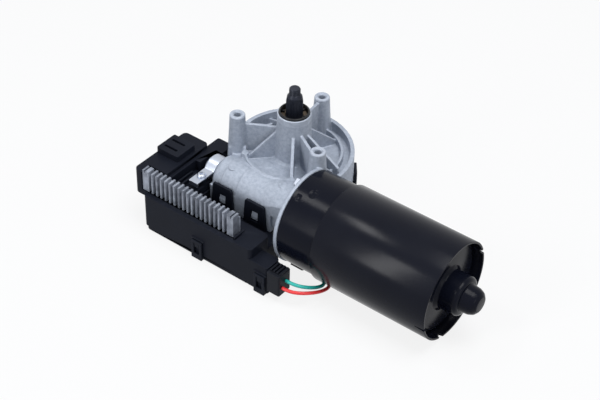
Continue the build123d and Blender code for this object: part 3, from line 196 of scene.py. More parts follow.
def makeMaterial(name, finish):
    # Dark and light tones, roughness range, metal, grain scales, bump and a painted highlight on edges
    finish = {**plainFinish, **finish}
    material = bpy.data.materials.new(name)
    material.use_nodes = True
    tree = material.node_tree
    shader = tree.nodes["Principled BSDF"]
    grain = addNode(tree, "ShaderNodeGroup", node_tree=surfaceGrain)
    grain.inputs["Fine Scale"].default_value = finish["fine"]
    grain.inputs["Broad Scale"].default_value = finish["broad"]
    tone = ramp(tree, grain.outputs["Mottle"], grainLook["toneRange"], (finish["dark"], finish["light"]))
    # Painted highlight: convex edges take the finish's lighter edge colour
    if finish["edgeHighlight"]:
        edgeHighlight = addNode(tree, "ShaderNodeGroup", node_tree=paintedEdgeHighlight)
        edgeHighlight.inputs["Amount"].default_value = finish["edgeHighlight"]
        tone = mixIn(tree, edgeHighlight.outputs["Mask"], tone, finish["edge"])
    tree.links.new(tone, shader.inputs["Base Color"])
    low, high = finish["rough"]
    tree.links.new(rangeOf(tree, grain.outputs["Mottle"], low, high), shader.inputs["Roughness"])
    shader.inputs["Metallic"].default_value = finish["metal"]
    shader.inputs["Specular IOR Level"].default_value = finish["specular"]
    if finish["bump"]:
        bump = addNode(tree, "ShaderNodeBump")
        bump.inputs["Strength"].default_value = finish["bump"]
        bump.inputs["Distance"].default_value = finish["depth"]
        tree.links.new(grain.outputs["Skin"], bump.inputs["Height"])
        tree.links.new(bump.outputs["Normal"], shader.inputs["Normal"])
    return material


# Each edge colour is a painted highlight, laid on convex edges
finishes = {
    "castAlloy": {"dark": (0.245, 0.28, 0.34), "light": (0.36, 0.40, 0.475), "rough": (0.5, 0.65),
                  "metal": 0.25, "fine": 1200, "broad": 420, "bump": 0.6, "depth": 0.0003,
                  "edgeHighlight": 1.2, "edge": (0.58, 0.63, 0.72)},
    # The heat sink's dark tones are painted shade of the gaps between its fins, well below its grey
    # aluminium; on the thin fins the edge colour covers most of the metal
    "sinkAlloy": {"dark": (0.034, 0.039, 0.054), "light": (0.052, 0.059, 0.079), "rough": (0.5, 0.64),
                  "metal": 0.15, "specular": 0.3, "fine": 1200, "broad": 140, "bump": 0.2, "edgeHighlight": 1.4,
                  "edge": (0.30, 0.33, 0.39)},
    "boxPlastic": {"dark": (0.0045, 0.0058, 0.0105), "light": (0.0068, 0.0085, 0.0145), "rough": (0.5, 0.6),
                   "specular": 0.08, "fine": 1800, "broad": 45, "bump": 0.12, "edgeHighlight": 0.5,
                   "edge": (0.03, 0.034, 0.045)},
    "plugPlastic": {"dark": (0.005, 0.006, 0.010), "light": (0.008, 0.0095, 0.014), "rough": (0.42, 0.52),
                    "specular": 0.1, "fine": 1500, "broad": 60, "bump": 0.1},
    "canPaint": {"dark": (0.0032, 0.004, 0.0085), "light": (0.0044, 0.0054, 0.0105), "rough": (0.17, 0.22),
                 "specular": 0.075, "fine": 700, "broad": 30, "bump": 0.06, "depth": 0.0003},
    "ringPaint": {"dark": (0.0032, 0.004, 0.0085), "light": (0.0044, 0.0054, 0.0105), "rough": (0.18, 0.23),
                  "specular": 0.11, "fine": 700, "broad": 30, "bump": 0.06, "depth": 0.0003},
    "sealPlastic": {"dark": (0.005, 0.0055, 0.007), "light": (0.009, 0.0095, 0.011), "rough": (0.3, 0.4),
                    "specular": 0.3, "fine": 1500, "broad": 80, "bump": 0.1},
    "blackSteel": {"dark": (0.008, 0.010, 0.017), "light": (0.016, 0.019, 0.030), "rough": (0.30, 0.42),
                   "metal": 0.3, "specular": 0.2, "fine": 900, "broad": 160, "bump": 0.1, "edgeHighlight": 0.8,
                   "edge": (0.05, 0.056, 0.075)},
    "feltBrown": {"dark": (0.05, 0.035, 0.022), "light": (0.11, 0.08, 0.055), "rough": (0.6, 0.75),
                  "fine": 2200, "broad": 260, "bump": 0.4},
    "brightZinc": {"dark": (0.40, 0.44, 0.52), "light": (0.54, 0.58, 0.66), "rough": (0.30, 0.40),
                   "metal": 1.0, "fine": 400, "broad": 50, "bump": 0},
    "groundSteel": {"dark": (0.42, 0.42, 0.43), "light": (0.58, 0.58, 0.58), "rough": (0.2, 0.34),
                    "metal": 1.0, "fine": 1500, "broad": 120, "bump": 0.05},
    "springSteel": {"dark": (0.16, 0.16, 0.18), "light": (0.24, 0.24, 0.26), "rough": (0.3, 0.42),
                    "metal": 0.9, "fine": 900, "broad": 120, "bump": 0.05},
    "sinteredBronze": {"dark": (0.34, 0.22, 0.12), "light": (0.48, 0.33, 0.19), "rough": (0.4, 0.55),
                       "metal": 0.8, "fine": 2400, "broad": 200, "bump": 0.3},
    "wheelPlastic": {"dark": (0.58, 0.55, 0.45), "light": (0.72, 0.69, 0.58), "rough": (0.3, 0.5),
                     "fine": 800, "broad": 50, "bump": 0.08},
    "magnetFerrite": {"dark": (0.05, 0.05, 0.055), "light": (0.09, 0.09, 0.095), "rough": (0.5, 0.7),
                      "metal": 0.2, "fine": 2000, "broad": 120, "bump": 0.3},
    "sheetStack": {"dark": (0.22, 0.22, 0.24), "light": (0.34, 0.34, 0.36), "rough": (0.35, 0.5),
                   "metal": 0.8, "fine": 1600, "broad": 120, "bump": 0.2},
    "copperWire": {"dark": (0.42, 0.15, 0.06), "light": (0.62, 0.25, 0.11), "rough": (0.22, 0.36),
                   "metal": 0.9, "fine": 1600, "broad": 300, "bump": 0.4},
    "resinBrown": {"dark": (0.05, 0.028, 0.018), "light": (0.09, 0.05, 0.03), "rough": (0.4, 0.5),
                   "fine": 1200, "broad": 90, "bump": 0.1},
    "carbonBlock": {"dark": (0.02, 0.02, 0.021), "light": (0.045, 0.045, 0.047), "rough": (0.5, 0.65),
                    "fine": 2600, "broad": 200, "bump": 0.3},
    "boardGreen": {"dark": (0.008, 0.06, 0.025), "light": (0.015, 0.10, 0.045), "rough": (0.25, 0.35),
                   "fine": 900, "broad": 350, "bump": 0.15},
    "chipBlack": {"dark": (0.012, 0.012, 0.012), "light": (0.022, 0.022, 0.023), "rough": (0.45, 0.55),
                  "fine": 1800, "broad": 120, "bump": 0.15},
    "bareAluminium": {"dark": (0.48, 0.49, 0.51), "light": (0.62, 0.63, 0.65), "rough": (0.25, 0.35),
                      "metal": 0.95, "fine": 900, "broad": 120, "bump": 0.08},
    "tinnedBrass": {"dark": (0.62, 0.5, 0.26), "light": (0.76, 0.64, 0.36), "rough": (0.2, 0.3),
                    "metal": 1.0, "fine": 900, "broad": 160, "bump": 0.04},
    "softRubber": {"dark": (0.010, 0.010, 0.011), "light": (0.018, 0.018, 0.02), "rough": (0.55, 0.7),
                   "fine": 1500, "broad": 90, "bump": 0.2},
    "leadRed": {"dark": (0.60, 0.02, 0.022), "light": (0.72, 0.034, 0.038), "rough": (0.32, 0.42),
                "fine": 900, "broad": 90, "bump": 0.08},
    "leadGreen": {"dark": (0.003, 0.30, 0.26), "light": (0.012, 0.40, 0.35), "rough": (0.32, 0.42),
                  "fine": 900, "broad": 90, "bump": 0.08},
}
materials = {name: makeMaterial(name, finish) for name, finish in finishes.items()}

nodeFinishes = {
    "castAlloy": ["gear_housing"],
    "sinteredBronze": ["upper_shaft_bush", "lower_shaft_bush", "worm_end_bush", "rear_bush"],
    "blackSteel": ["output_shaft"],
    "springSteel": ["shaft_washer", "shaft_circlip", "thrust_washer", "bearing_retainer",
                    "rear_bush_retainer", "magnet_springs", "brush_springs"],
    "feltBrown": ["felt_washer"],
    "sealPlastic": ["seal_cap"],
    "wheelPlastic": ["worm_wheel"],
    "groundSteel": ["wheel_hub", "armature_shaft", "bearing_outer_ring", "bearing_inner_ring",
                    "bearing_balls", "thrust_ball"],
    "magnetFerrite": ["position_magnet", "field_magnets"],
    "sheetStack": ["armature_core"],
    "copperWire": ["armature_windings", "commutator_bars", "choke_coils"],
    "resinBrown": ["commutator_core"],
    "brightZinc": ["thrust_plug", "plate_screws", "earth_clip", "clip_screw"],
    "canPaint": ["motor_can"],
    "ringPaint": ["flux_ring"],
    "softRubber": ["lead_grommet", "housing_gasket"],
    "chipBlack": ["brush_plate", "power_transistors", "control_chips"],
    "carbonBlock": ["carbon_brushes"],
    "boxPlastic": ["electronics_tray", "bottom_cover"],
    "sinkAlloy": ["heat_sink"],
    "boardGreen": ["circuit_board"],
    "bareAluminium": ["capacitors"],
    "tinnedBrass": ["connector_pins"],
    "plugPlastic": ["motor_lead_plug"],
    "leadRed": ["red_lead"],
    "leadGreen": ["green_lead"],
}


def paint(mesh, materialName):
    mesh.materials.clear()
    mesh.materials.append(materials[materialName])


for materialName, painted in nodeFinishes.items():
    for node in painted:
        paint(nodes[node].data, materialName)

print("mesh helpers")

# Points this close become one, in millimetres, and folds of up to this angle in a CAD mesh go flat
meshCare = {"merge": 0.002, "latheMerge": 0.001, "flatAngle": 0.4}


def finishPiece(bm, name, body, materialName, replaced=(), smoothAngle=32):
    # Turns a bmesh into a piece that rides on its body and stands for its CAD nodes
    limit = math.radians(smoothAngle)
    bmesh.ops.recalc_face_normals(bm, faces=bm.faces)
    for edge in bm.edges:
        edge.smooth = len(edge.link_faces) == 2 and edge.calc_face_angle(0) < limit
    for face in bm.faces:
        face.smooth = True
    mesh = bpy.data.meshes.new(name)
    bm.to_mesh(mesh)
    bm.free()
    piece = bpy.data.objects.new(name, mesh)
    bpy.context.scene.collection.objects.link(piece)
    paint(mesh, materialName)
    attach(piece, body)
    if replaced:
        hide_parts(*replaced)
    return piece


def sharpEdges(bm, degrees):
    limit = math.radians(degrees)
    return [e for e in bm.edges if len(e.link_faces) == 2 and e.calc_face_angle(0) > limit]


def roundEdges(bm, width, degrees=30, segments=2):
    bmesh.ops.bevel(bm, geom=sharpEdges(bm, degrees), offset=width, offset_type="OFFSET", segments=segments,
                    profile=0.5, affect="EDGES", clamp_overlap=False, loop_slide=True, material=-1)


def nodeMesh(node):
    # A merged copy of a CAD node's mesh with its flat faces whole again
    bm = bmesh.new()
    bm.from_mesh(nodes[node].data)
    flat = math.radians(meshCare["flatAngle"])
    bmesh.ops.remove_doubles(bm, verts=bm.verts, dist=meshCare["merge"] * mm)
    bmesh.ops.dissolve_limit(bm, angle_limit=flat, verts=bm.verts, edges=bm.edges)
    return bm


def softCopy(node, name, materialName, width):
    # A CAD node's form with its edges rounded
    bm = nodeMesh(node)
    roundEdges(bm, width)
    bmesh.ops.triangulate(bm, faces=[f for f in bm.faces if len(f.verts) > 4])
    piece = finishPiece(bm, name, "motor_body", materialName, (node,), smoothAngle=40)
    even = piece.modifiers.new("evenShading", "WEIGHTED_NORMAL")
    even.keep_sharp = True
    return piece


def lathe(points, steps, centre=motorAxis, axis=(1, 0, 0), outward=(0, 1, 0), closed=True, turn=360):
    # Spins a profile of (distance from the axis, place along it), in millimetres, through some degrees
    axis, outward = Vector(axis), Vector(outward)
    bm = bmesh.new()
    verts = [bm.verts.new(centre + outward * (r * mm) + axis * (h * mm)) for r, h in points]
    pairs = list(zip(verts, verts[1:]))
    if closed:
        pairs.append((verts[-1], verts[0]))
    for a, b in pairs:
        bm.edges.new((a, b))
    bmesh.ops.spin(bm, geom=bm.verts[:] + bm.edges[:], cent=centre, axis=axis, angle=math.radians(turn),
                   steps=steps, use_merge=turn == 360)
    if turn < 360:
        bmesh.ops.holes_fill(bm, edges=[e for e in bm.edges if e.is_boundary])
    bmesh.ops.remove_doubles(bm, verts=bm.verts, dist=meshCare["latheMerge"] * mm)
    bmesh.ops.recalc_face_normals(bm, faces=bm.faces)
    return bm


def upright(points, steps, place=(0, 0), closed=True, start=0, turn=360):
    # A lathe round a vertical axis at a place in plan
    heading = math.radians(start)
    return lathe(points, steps, centre=Vector((*place, 0)) * mm, axis=(0, 0, 1),
                 outward=(math.cos(heading), math.sin(heading), 0), closed=closed, turn=turn)


def joinInto(bm, other):
    mesh = bpy.data.meshes.new("joined")
    other.to_mesh(mesh)
    other.free()
    bm.from_mesh(mesh)
    bpy.data.meshes.remove(mesh)


def addBox(bm, low, high, degrees=0):
    # A box between two corners in millimetres, turned about the world's vertical axis
    middle = (Vector(low) + Vector(high)) / 2 * mm
    size = (Vector(high) - Vector(low)) * mm
    place = Matrix.Rotation(math.radians(degrees), 4, "Z") @ Matrix.Translation(middle)
    bmesh.ops.create_cube(bm, size=1, matrix=place @ Matrix.Diagonal((*size, 1)))


def fineRows(profile, coarse, fine, low, high):
    # More rows between the profile's points, closer together where they lie between two heights
    rows = []
    for (r0, h0), (r1, h1) in zip(profile, profile[1:]):
        inside = low <= min(h0, h1) and max(h0, h1) <= high
        count = max(1, round(abs(h1 - h0) / (fine if inside else coarse)))
        rows += [(r0 + (r1 - r0) * k / count, h0 + (h1 - h0) * k / count) for k in range(count)]
    return rows + [profile[-1]]


def reshape(bm, shape, centre, along, across, up):
    # Moves every point by a rule that turns (radius, height, angle) into a new radius and height
    along, across, up = Vector(along), Vector(across), Vector(up)
    for vert in bm.verts:
        place = (vert.co - centre) / mm
        side, rise, height = place.dot(across), place.dot(up), place.dot(along)
        radius = math.hypot(side, rise)
        if radius < 0.01:
            continue
        newRadius, newHeight = shape(radius, height, math.atan2(rise, side))
        outward = (across * side + up * rise) / radius
        vert.co = centre + (along * newHeight + outward * newRadius) * mm


def arcAway(angle, degrees, radius):
    # Distance round the curve, in millimetres, from a direction given in degrees
    away = (angle - math.radians(degrees) + math.pi) % (2 * math.pi) - math.pi
    return away * radius


def softStep(distance, edge):
    # 1 inside, 0 outside, with a smooth slope one edge wide
    share = min(max(0.5 - distance / edge, 0), 1)
    return share * share * (3 - 2 * share)


print("leads")

leadSizes = {"diameter": 2.5, "redLength": 67.8, "greenLength": 57.7, "roundSteps": 6, "alongSteps": 10}
redRoute = [(55.0, -81.4, -66.4), (59.6, -81.4, -66.4), (65.4, -79.0, -66.6), (70.6, -74.2, -67.2),
            (74.2, -67.8, -68.8), (75.4, -60.4, -71.2), (73.8, -53.4, -74.0), (69.4, -48.2, -76.0),
            (63.2, -45.7, -76.1), (56.4, -45.2, -75.6), (49.7, -45.2, -75.6)]
greenRoute = [(55.0, -77.6, -62.4), (59.6, -77.6, -62.4), (65.0, -75.6, -63.2), (69.6, -71.0, -65.0),
              (72.0, -64.9, -67.7), (71.8, -58.4, -70.8), (69.0, -53.0, -73.6), (63.8, -50.0, -74.4),
              (56.0, -49.2, -73.9), (49.7, -49.2, -73.9)]


def makeLead(name, node, route, materialName):
    data = bpy.data.curves.new(name, "CURVE")
    data.dimensions = "3D"
    data.bevel_depth = leadSizes["diameter"] / 2 * mm
    data.bevel_resolution = leadSizes["roundSteps"]
    data.resolution_u = leadSizes["alongSteps"]
    data.use_fill_caps = True
    spline = data.splines.new("NURBS")
    spline.points.add(len(route) - 1)
    for point, place in zip(spline.points, route):
        point.co = (*(Vector(place) * mm), 1)
    spline.order_u = 3
    spline.use_endpoint_u = True
    data.materials.append(materials[materialName])
    lead = bpy.data.objects.new(name, data)
    bpy.context.scene.collection.objects.link(lead)
    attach(lead, "motor_body")
    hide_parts(node)


makeLead("redLead", "red_lead", redRoute, "leadRed")
makeLead("greenLead", "green_lead", greenRoute, "leadGreen")

print("cast housing")

housingSkin = {"voxel": 0.4, "quickVoxel": 0.6, "smoothing": 2, "smoothFactor": 0.5, "triangles": 150000}
lipBead = {"inner": 33.2, "outer": 34.9, "low": -31.0, "high": -24.7, "start": 226, "turn": 79,
           "steps": 60}
towerMouth = [(11.5, -1.0), (11.86, 0.6), (11.86, 6.9), (11.5, 7.34), (11.12, 7.34), (10.88, 7.1),
              (10.88, 1.5), (11.3, 1.2)]
bossPlaces = ((-35.4, -18.6), (33.4, -16.8), (-2.5, 35.5))
bossMouth = [(3.3, -9.4), (5.45, -3.4), (5.58, -1.2), (5.3, -0.3), (4.95, 0.0), (3.5, 0.0), (3.3, -0.15),
             (2.5, -0.95), (2.5, -9.2)]
bossThread = {"bore": 2.5, "low": -8.9, "high": -1.1, "pitch": 1.0, "depth": 0.3, "steps": 64,
              "coarseRow": 3.0, "fineRow": 0.125, "fineLow": -9.2, "fineHigh": -0.95}
mouthSmooth = {"towerSteps": 128, "angle": 35}


def boredThread(radius, height, angle):
    # The tapped hole's thread, on the bore only
    if radius > bossThread["bore"] + 0.1 or not bossThread["low"] <= height <= bossThread["high"]:
        return radius, height
    turn = (height / bossThread["pitch"] - angle / (2 * math.pi)) % 1
    return radius + bossThread["depth"] * abs(2 * turn - 1), height


def addMouths(mesh):
    # Machined mouths of the tower and of the three bosses, crisper than the remeshed casting
    bm = bmesh.new()
    bm.from_mesh(mesh)
    joinInto(bm, upright(towerMouth, mouthSmooth["towerSteps"]))
    t = bossThread
    rows = fineRows(bossMouth, t["coarseRow"], t["fineRow"], t["fineLow"], t["fineHigh"])
    for place in bossPlaces:
        mouth = upright(rows, t["steps"], place)
        reshape(mouth, boredThread, Vector((*place, 0)) * mm, (0, 0, 1), (1, 0, 0), (0, 1, 0))
        joinInto(bm, mouth)
    limit = math.radians(mouthSmooth["angle"])
    for edge in bm.edges:
        edge.smooth = len(edge.link_faces) == 2 and edge.calc_face_angle(0) < limit
    for face in bm.faces:
        face.smooth = True
    bm.to_mesh(mesh)
    bm.free()


def castHousing():
    # The casting is remeshed so that every edge and inner corner gets a small cast radius
    bm = nodeMesh("gear_housing")
    lip = lipBead
    bead = [(lip["inner"], lip["low"]), (lip["outer"], lip["low"]), (lip["outer"], lip["high"]),
            (lip["inner"], lip["high"])]
    joinInto(bm, upright(bead, lip["steps"], start=lip["start"], turn=lip["turn"]))
    bmesh.ops.triangulate(bm, faces=bm.faces)
    mesh = bpy.data.meshes.new("castHousing")
    bm.to_mesh(mesh)
    bm.free()
    piece = bpy.data.objects.new("castHousing", mesh)
    bpy.context.scene.collection.objects.link(piece)
    skin = piece.modifiers.new("skin", "REMESH")
    skin.mode = "VOXEL"
    skin.voxel_size = housingSkin["voxel"] * mm
    skin.use_smooth_shade = True
    soften = piece.modifiers.new("soften", "SMOOTH")
    soften.factor = housingSkin["smoothFactor"]
    soften.iterations = housingSkin["smoothing"]
    evaluated = piece.evaluated_get(bpy.context.evaluated_depsgraph_get())
    full = len(evaluated.data.polygons) * 2
    if full > housingSkin["triangles"]:
        thin = piece.modifiers.new("thin", "DECIMATE")
        thin.ratio = housingSkin["triangles"] / full
    evaluated = piece.evaluated_get(bpy.context.evaluated_depsgraph_get())
    piece.modifiers.clear()
    piece.data = bpy.data.meshes.new_from_object(evaluated)
    addMouths(piece.data)
    print("  housing triangles", sum(len(p.vertices) - 2 for p in piece.data.polygons))
    paint(piece.data, "castAlloy")
    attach(piece, "motor_body")
    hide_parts("gear_housing")


castHousing()

print("moulded parts")

# Pieces that keep their CAD form: name, finish, slot and edge radius in millimetres
softPieces = {
    "electronics_tray": ("electronicsTray", "boxPlastic", "tray_plastic", 0.3),
    "bottom_cover": ("bottomCover", "boxPlastic", "cover_plastic", 0.4),
    "motor_lead_plug": ("motorLeadPlug", "plugPlastic", "plug_black", 0.3),
    "heat_sink": ("heatSink", "sinkAlloy", "sink_aluminium", 0.2),
    "earth_clip": ("earthClip", "brightZinc", "zinc_plate", 0.18),
    "clip_screw": ("clipScrew", "brightZinc", "zinc_plate", 0.15),
    "plate_screws": ("flangeScrews", "brightZinc", "zinc_plate", 0.25),
}
for node, (name, materialName, slot, radius) in softPieces.items():
    softCopy(node, name, materialName, radius * mm)

print("output shaft")

shaftShape = {"serrationCount": 36, "serrationLow": 5.8, "serrationHigh": 20.8, "serrationDepth": 0.4,
              "threadLow": 23.1, "threadHigh": 27.1, "threadCore": 3.8, "pitch": 1.0, "threadDepth": 0.45,
              "steps": 216, "coarseRow": 1.0, "fineRow": 0.125, "fineLow": 23.0, "fineHigh": 27.0}
shaftProfile = [(0, -54.0), (5.4, -54.0), (6.0, -53.4), (6.0, 2.3), (5.2, 2.3), (5.2, 3.3), (6.0, 3.3),
                (6.0, 4.6), (5.5, 4.8), (5.5, 5.4), (5.9, 5.4), (5.9, 16.9), (5.3, 21.1), (4.0, 23.0),
                (4.0, 27.0), (3.4, 27.6), (0, 27.6)]


def shaftSurface(radius, height, angle):
    # Serrations on the seat and cone, and a thread above them
    s = shaftShape
    if s["serrationLow"] < height < s["serrationHigh"]:
        ends = min(height - s["serrationLow"], s["serrationHigh"] - height, 1)
        radius -= s["serrationDepth"] * ends * (0.5 + 0.5 * math.cos(angle * s["serrationCount"]))
    elif s["threadLow"] < height < s["threadHigh"] and radius > s["threadCore"]:
        turn = (height / s["pitch"] - angle / (2 * math.pi)) % 1
        radius -= s["threadDepth"] * abs(2 * turn - 1)
    return radius, height


def outputShaft():
    s = shaftShape
    rows = fineRows(shaftProfile, s["coarseRow"], s["fineRow"], s["fineLow"], s["fineHigh"])
    bm = upright(rows, s["steps"], closed=False)
    reshape(bm, shaftSurface, Vector((0, 0, 0)), (0, 0, 1), (1, 0, 0), (0, 1, 0))
    finishPiece(bm, "outputShaft", "output", "blackSteel", ("output_shaft",),
                smoothAngle=35)


outputShaft()

print("seal cap and felt")

capShape = {"profile": [(10.8, 3.5), (10.8, 8.35), (10.25, 8.9), (9.8, 8.9), (9.5, 8.6), (9.5, 3.5)],
            "steps": 128, "tabs": 6, "tabStart": 15, "tabLow": (7.2, -0.65, 5.05),
            "tabHigh": (9.7, 0.65, 6.65), "tabEdge": 0.15}
feltShape = {"profile": [(6.3, 3.5), (9.3, 3.5), (9.3, 4.8), (9.1, 5.0), (6.5, 5.0), (6.3, 4.8)],
             "steps": 96}


def sealCap():
    c = capShape
    bm = upright(c["profile"], c["steps"])
    tabs = bmesh.new()
    for k in range(c["tabs"]):
        addBox(tabs, c["tabLow"], c["tabHigh"], c["tabStart"] + 360 * k / c["tabs"])
    roundEdges(tabs, c["tabEdge"] * mm)
    joinInto(bm, tabs)
    finishPiece(bm, "sealCap", "motor_body", "sealPlastic", ("seal_cap",))


def feltWasher():
    bm = upright(feltShape["profile"], feltShape["steps"])
    finishPiece(bm, "feltWasher", "motor_body", "feltBrown", ("felt_washer",))


sealCap()
feltWasher()

print("motor can")

canShape = {"radius": 33.8, "wall": 2.0, "front": 39.5, "rear": 153.0, "corner": 4.0, "cornerShare": 0.3,
            "bossRadius": 14.0, "bossFoot": 2.2, "bossFace": 168.5, "bossCorner": 2.5, "bossMiddle": 0.8,
            "noseRadius": 10.0, "noseTaper": 0.6, "noseShoulder": 5.0, "noseCorner": (2.0, 1.9),
            "tipRadius": 5.6, "tipInset": 1.0, "tipSlope": 3.2, "tip": 179.0, "steps": 288,
            "rows": 34, "rowStep": 0.5, "edge": 0.5, "edgeAngle": 12}
canMarks = {"dimples": (108, 228, 348), "dimplePlace": 52.0, "dimpleRadius": 2.6, "dimpleDepth": 0.8,
            "dimpleEdge": 1.0, "crimps": (120, 240, 0), "crimpPlace": 44.2, "crimpHalf": (1.6, 1.3),
            "crimpDepth": 0.5, "crimpEdge": 0.7}


def canSurface(radius, height, angle):
    # Round dimples and small crimps pressed into the can's wall near its mouth
    c = canMarks
    if radius < canShape["radius"] - canShape["edge"]:
        return radius, height
    pressed = 0
    for degrees in c["dimples"]:
        away = math.hypot(arcAway(angle, degrees, radius), height - c["dimplePlace"]) - c["dimpleRadius"]
        pressed = max(pressed, c["dimpleDepth"] * softStep(away, c["dimpleEdge"]))
    for degrees in c["crimps"]:
        across = abs(arcAway(angle, degrees, radius)) - c["crimpHalf"][0]
        along = abs(height - c["crimpPlace"]) - c["crimpHalf"][1]
        pressed = max(pressed, c["crimpDepth"] * softStep(max(across, along), c["crimpEdge"]))
    return radius - pressed, height


def motorCan():
    # The drawn can with its boss and bearing nose; close rows near the mouth carry the pressed marks
    c = canShape
    wall = c["wall"]
    middle = c["cornerShare"] * c["corner"]
    front = [(c["radius"], c["front"] + c["rowStep"] * k) for k in range(c["rows"])]
    outer = front + [
        (c["radius"], c["rear"] - c["corner"]),
        (c["radius"] - middle, c["rear"] - middle),
        (c["radius"] - c["corner"], c["rear"]),
        (c["bossRadius"] + c["bossFoot"], c["rear"]),
        (c["bossRadius"], c["rear"] + c["bossFoot"]),
        (c["bossRadius"], c["bossFace"] - c["bossCorner"]),
        (c["bossRadius"] - c["bossMiddle"], c["bossFace"] - c["bossMiddle"]),
        (c["bossRadius"] - c["bossCorner"], c["bossFace"]),
        (c["noseRadius"], c["bossFace"]),
        (c["noseRadius"] - c["noseTaper"], c["tip"] - c["noseShoulder"]),
        (c["noseRadius"] - c["noseCorner"][0], c["tip"] - c["noseCorner"][1]),
        (c["tipRadius"], c["tip"]),
        (0, c["tip"]),
    ]
    inner = [
        (0, c["tip"] - wall),
        (c["tipRadius"] - c["tipInset"], c["tip"] - wall),
        (c["noseRadius"] - wall, c["tip"] - c["tipSlope"]),
        (c["noseRadius"] - wall, c["bossFace"] - wall),
        (c["bossRadius"] - wall, c["bossFace"] - wall),
        (c["bossRadius"] - wall, c["rear"] - wall),
        (c["radius"] - c["corner"], c["rear"] - wall),
        (c["radius"] - wall, c["rear"] - c["corner"]),
        (c["radius"] - wall, c["front"]),
    ]
    bm = lathe(outer + inner, c["steps"])
    roundEdges(bm, c["edge"] * mm, degrees=c["edgeAngle"], segments=3)
    reshape(bm, canSurface, motorAxis, (1, 0, 0), (0, 1, 0), (0, 0, 1))
    finishPiece(bm, "motorCan", "motor_body", "canPaint", ("motor_can",), smoothAngle=50)


motorCan()

ringShape = {"inner": 33.85, "wall": 1.5, "front": 68.0, "rear": 159.0, "steps": 288, "edge": 0.35,
             "edgeAngle": 40, "rim": 1.0, "notches": ((252, 2.2, 2.2), (20, 2.2, 2.2), (196, 0.8, 7.0))}


def ringSurface(radius, height, angle):
    # Notches in the rear rim: direction in degrees, half width and depth
    if height > ringShape["rear"] - ringShape["rim"]:
        for degrees, half, depth in ringShape["notches"]:
            if abs(arcAway(angle, degrees, radius)) < half:
                return radius, height - depth
    return radius, height


def fluxRing():
    r = ringShape
    inner, outer = r["inner"], r["inner"] + r["wall"]
    section = [(inner, r["front"]), (outer, r["front"]), (outer, r["rear"]), (inner, r["rear"])]
    bm = lathe(section, r["steps"])
    roundEdges(bm, r["edge"] * mm, degrees=r["edgeAngle"], segments=3)
    reshape(bm, ringSurface, motorAxis, (1, 0, 0), (0, 1, 0), (0, 0, 1))
    finishPiece(bm, "fluxRing", "motor_body", "ringPaint", ("flux_ring",), smoothAngle=50)


fluxRing()

print("stage and light")

stageLook = {"floorColor": (0.60, 0.61, 0.63), "floorHalf": 4.0, "floorCells": 4, "floorDrop": 0.0002,
             "floorRough": 0.9, "floorGloss": 0.1, "whiteShare": 0.84, "airColor": (0.94, 0.96, 1.0),
             "airLevel": 0.40}


def seenDirectly(tree):
    # 1 for the rays that show the background: the camera's, and those that metal and glass send on
    path = addNode(tree, "ShaderNodeLightPath")
    total = path.outputs["Is Camera Ray"]
    for kind in ("Is Glossy Ray", "Is Transmission Ray"):
        both = addNode(tree, "ShaderNodeMath", operation="ADD", use_clamp=True)
        tree.links.new(total, both.inputs[0])
        tree.links.new(path.outputs[kind], both.inputs[1])
        total = both.outputs["Value"]
    return total


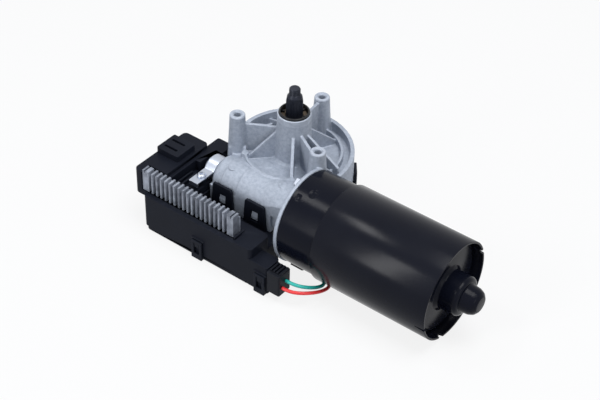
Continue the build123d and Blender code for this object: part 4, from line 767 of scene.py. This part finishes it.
def makeFloor():
    # A matt floor that takes the shadow and is lifted towards white where the camera sees it
    bm = bmesh.new()
    cells = stageLook["floorCells"]
    bmesh.ops.create_grid(bm, x_segments=cells, y_segments=cells, size=stageLook["floorHalf"])
    bmesh.ops.translate(bm, verts=bm.verts, vec=(0, 0, cadLow.z - stageLook["floorDrop"]))
    mesh = bpy.data.meshes.new("studioFloor")
    bm.to_mesh(mesh)
    bm.free()
    floor = bpy.data.objects.new("studioFloor", mesh)
    bpy.context.scene.collection.objects.link(floor)
    material = bpy.data.materials.new("studioFloor")
    material.use_nodes = True
    tree = material.node_tree
    shader = tree.nodes["Principled BSDF"]
    shader.inputs["Base Color"].default_value = (*stageLook["floorColor"], 1)
    shader.inputs["Roughness"].default_value = stageLook["floorRough"]
    shader.inputs["Specular IOR Level"].default_value = stageLook["floorGloss"]
    glow = addNode(tree, "ShaderNodeEmission")
    glow.inputs["Color"].default_value = (1, 1, 1, 1)
    share = addNode(tree, "ShaderNodeMath", operation="MULTIPLY")
    share.inputs[1].default_value = stageLook["whiteShare"]
    tree.links.new(seenDirectly(tree), share.inputs[0])
    blend = addNode(tree, "ShaderNodeMixShader")
    tree.links.new(share.outputs["Value"], blend.inputs["Fac"])
    tree.links.new(shader.outputs["BSDF"], blend.inputs[1])
    tree.links.new(glow.outputs["Emission"], blend.inputs[2])
    tree.links.new(blend.outputs["Shader"], tree.nodes["Material Output"].inputs["Surface"])
    mesh.materials.append(material)


makeFloor()

# Soft boxes: place, aim point, width, height and power
softBoxes = {
    "overheadBox": ((-0.56, -0.24, 1.14), (0.06, -0.035, -0.04), 0.34, 0.18, 2.6),
    "frontBox": ((-0.37, -1.24, 0.66), (0.13, -0.035, -0.04), 0.24, 1.0, 8.6),
    "rightBox": ((1.5, -0.5, 0.7), (0.04, -0.03, -0.04), 0.9, 0.7, 3.0),
    "topBox": ((0.38, 0.0, 1.3), (0.0, -0.01, -0.02), 0.8, 0.8, 16.0),
}


def makeLights():
    for name, (place, aim, width, height, power) in softBoxes.items():
        data = bpy.data.lights.new(name, "AREA")
        data.shape = "RECTANGLE"
        data.size, data.size_y = width, height
        data.energy = power
        light = bpy.data.objects.new(name, data)
        light.location = place
        light.rotation_euler = (Vector(aim) - Vector(place)).to_track_quat("-Z", "Y").to_euler()
        bpy.context.scene.collection.objects.link(light)
    world = bpy.data.worlds.new("studioWorld")
    bpy.context.scene.world = world
    world.use_nodes = True
    tree = world.node_tree
    air = tree.nodes["Background"]
    air.inputs["Color"].default_value = (*stageLook["airColor"], 1)
    air.inputs["Strength"].default_value = stageLook["airLevel"]
    white = addNode(tree, "ShaderNodeBackground")
    white.inputs["Color"].default_value = (1, 1, 1, 1)
    blend = addNode(tree, "ShaderNodeMixShader")
    tree.links.new(seenDirectly(tree), blend.inputs["Fac"])
    tree.links.new(air.outputs["Background"], blend.inputs[1])
    tree.links.new(white.outputs["Background"], blend.inputs[2])
    tree.links.new(blend.outputs["Shader"], tree.nodes["World Output"].inputs["Surface"])
    bpy.context.scene.view_settings.view_transform = "Standard"


makeLights()
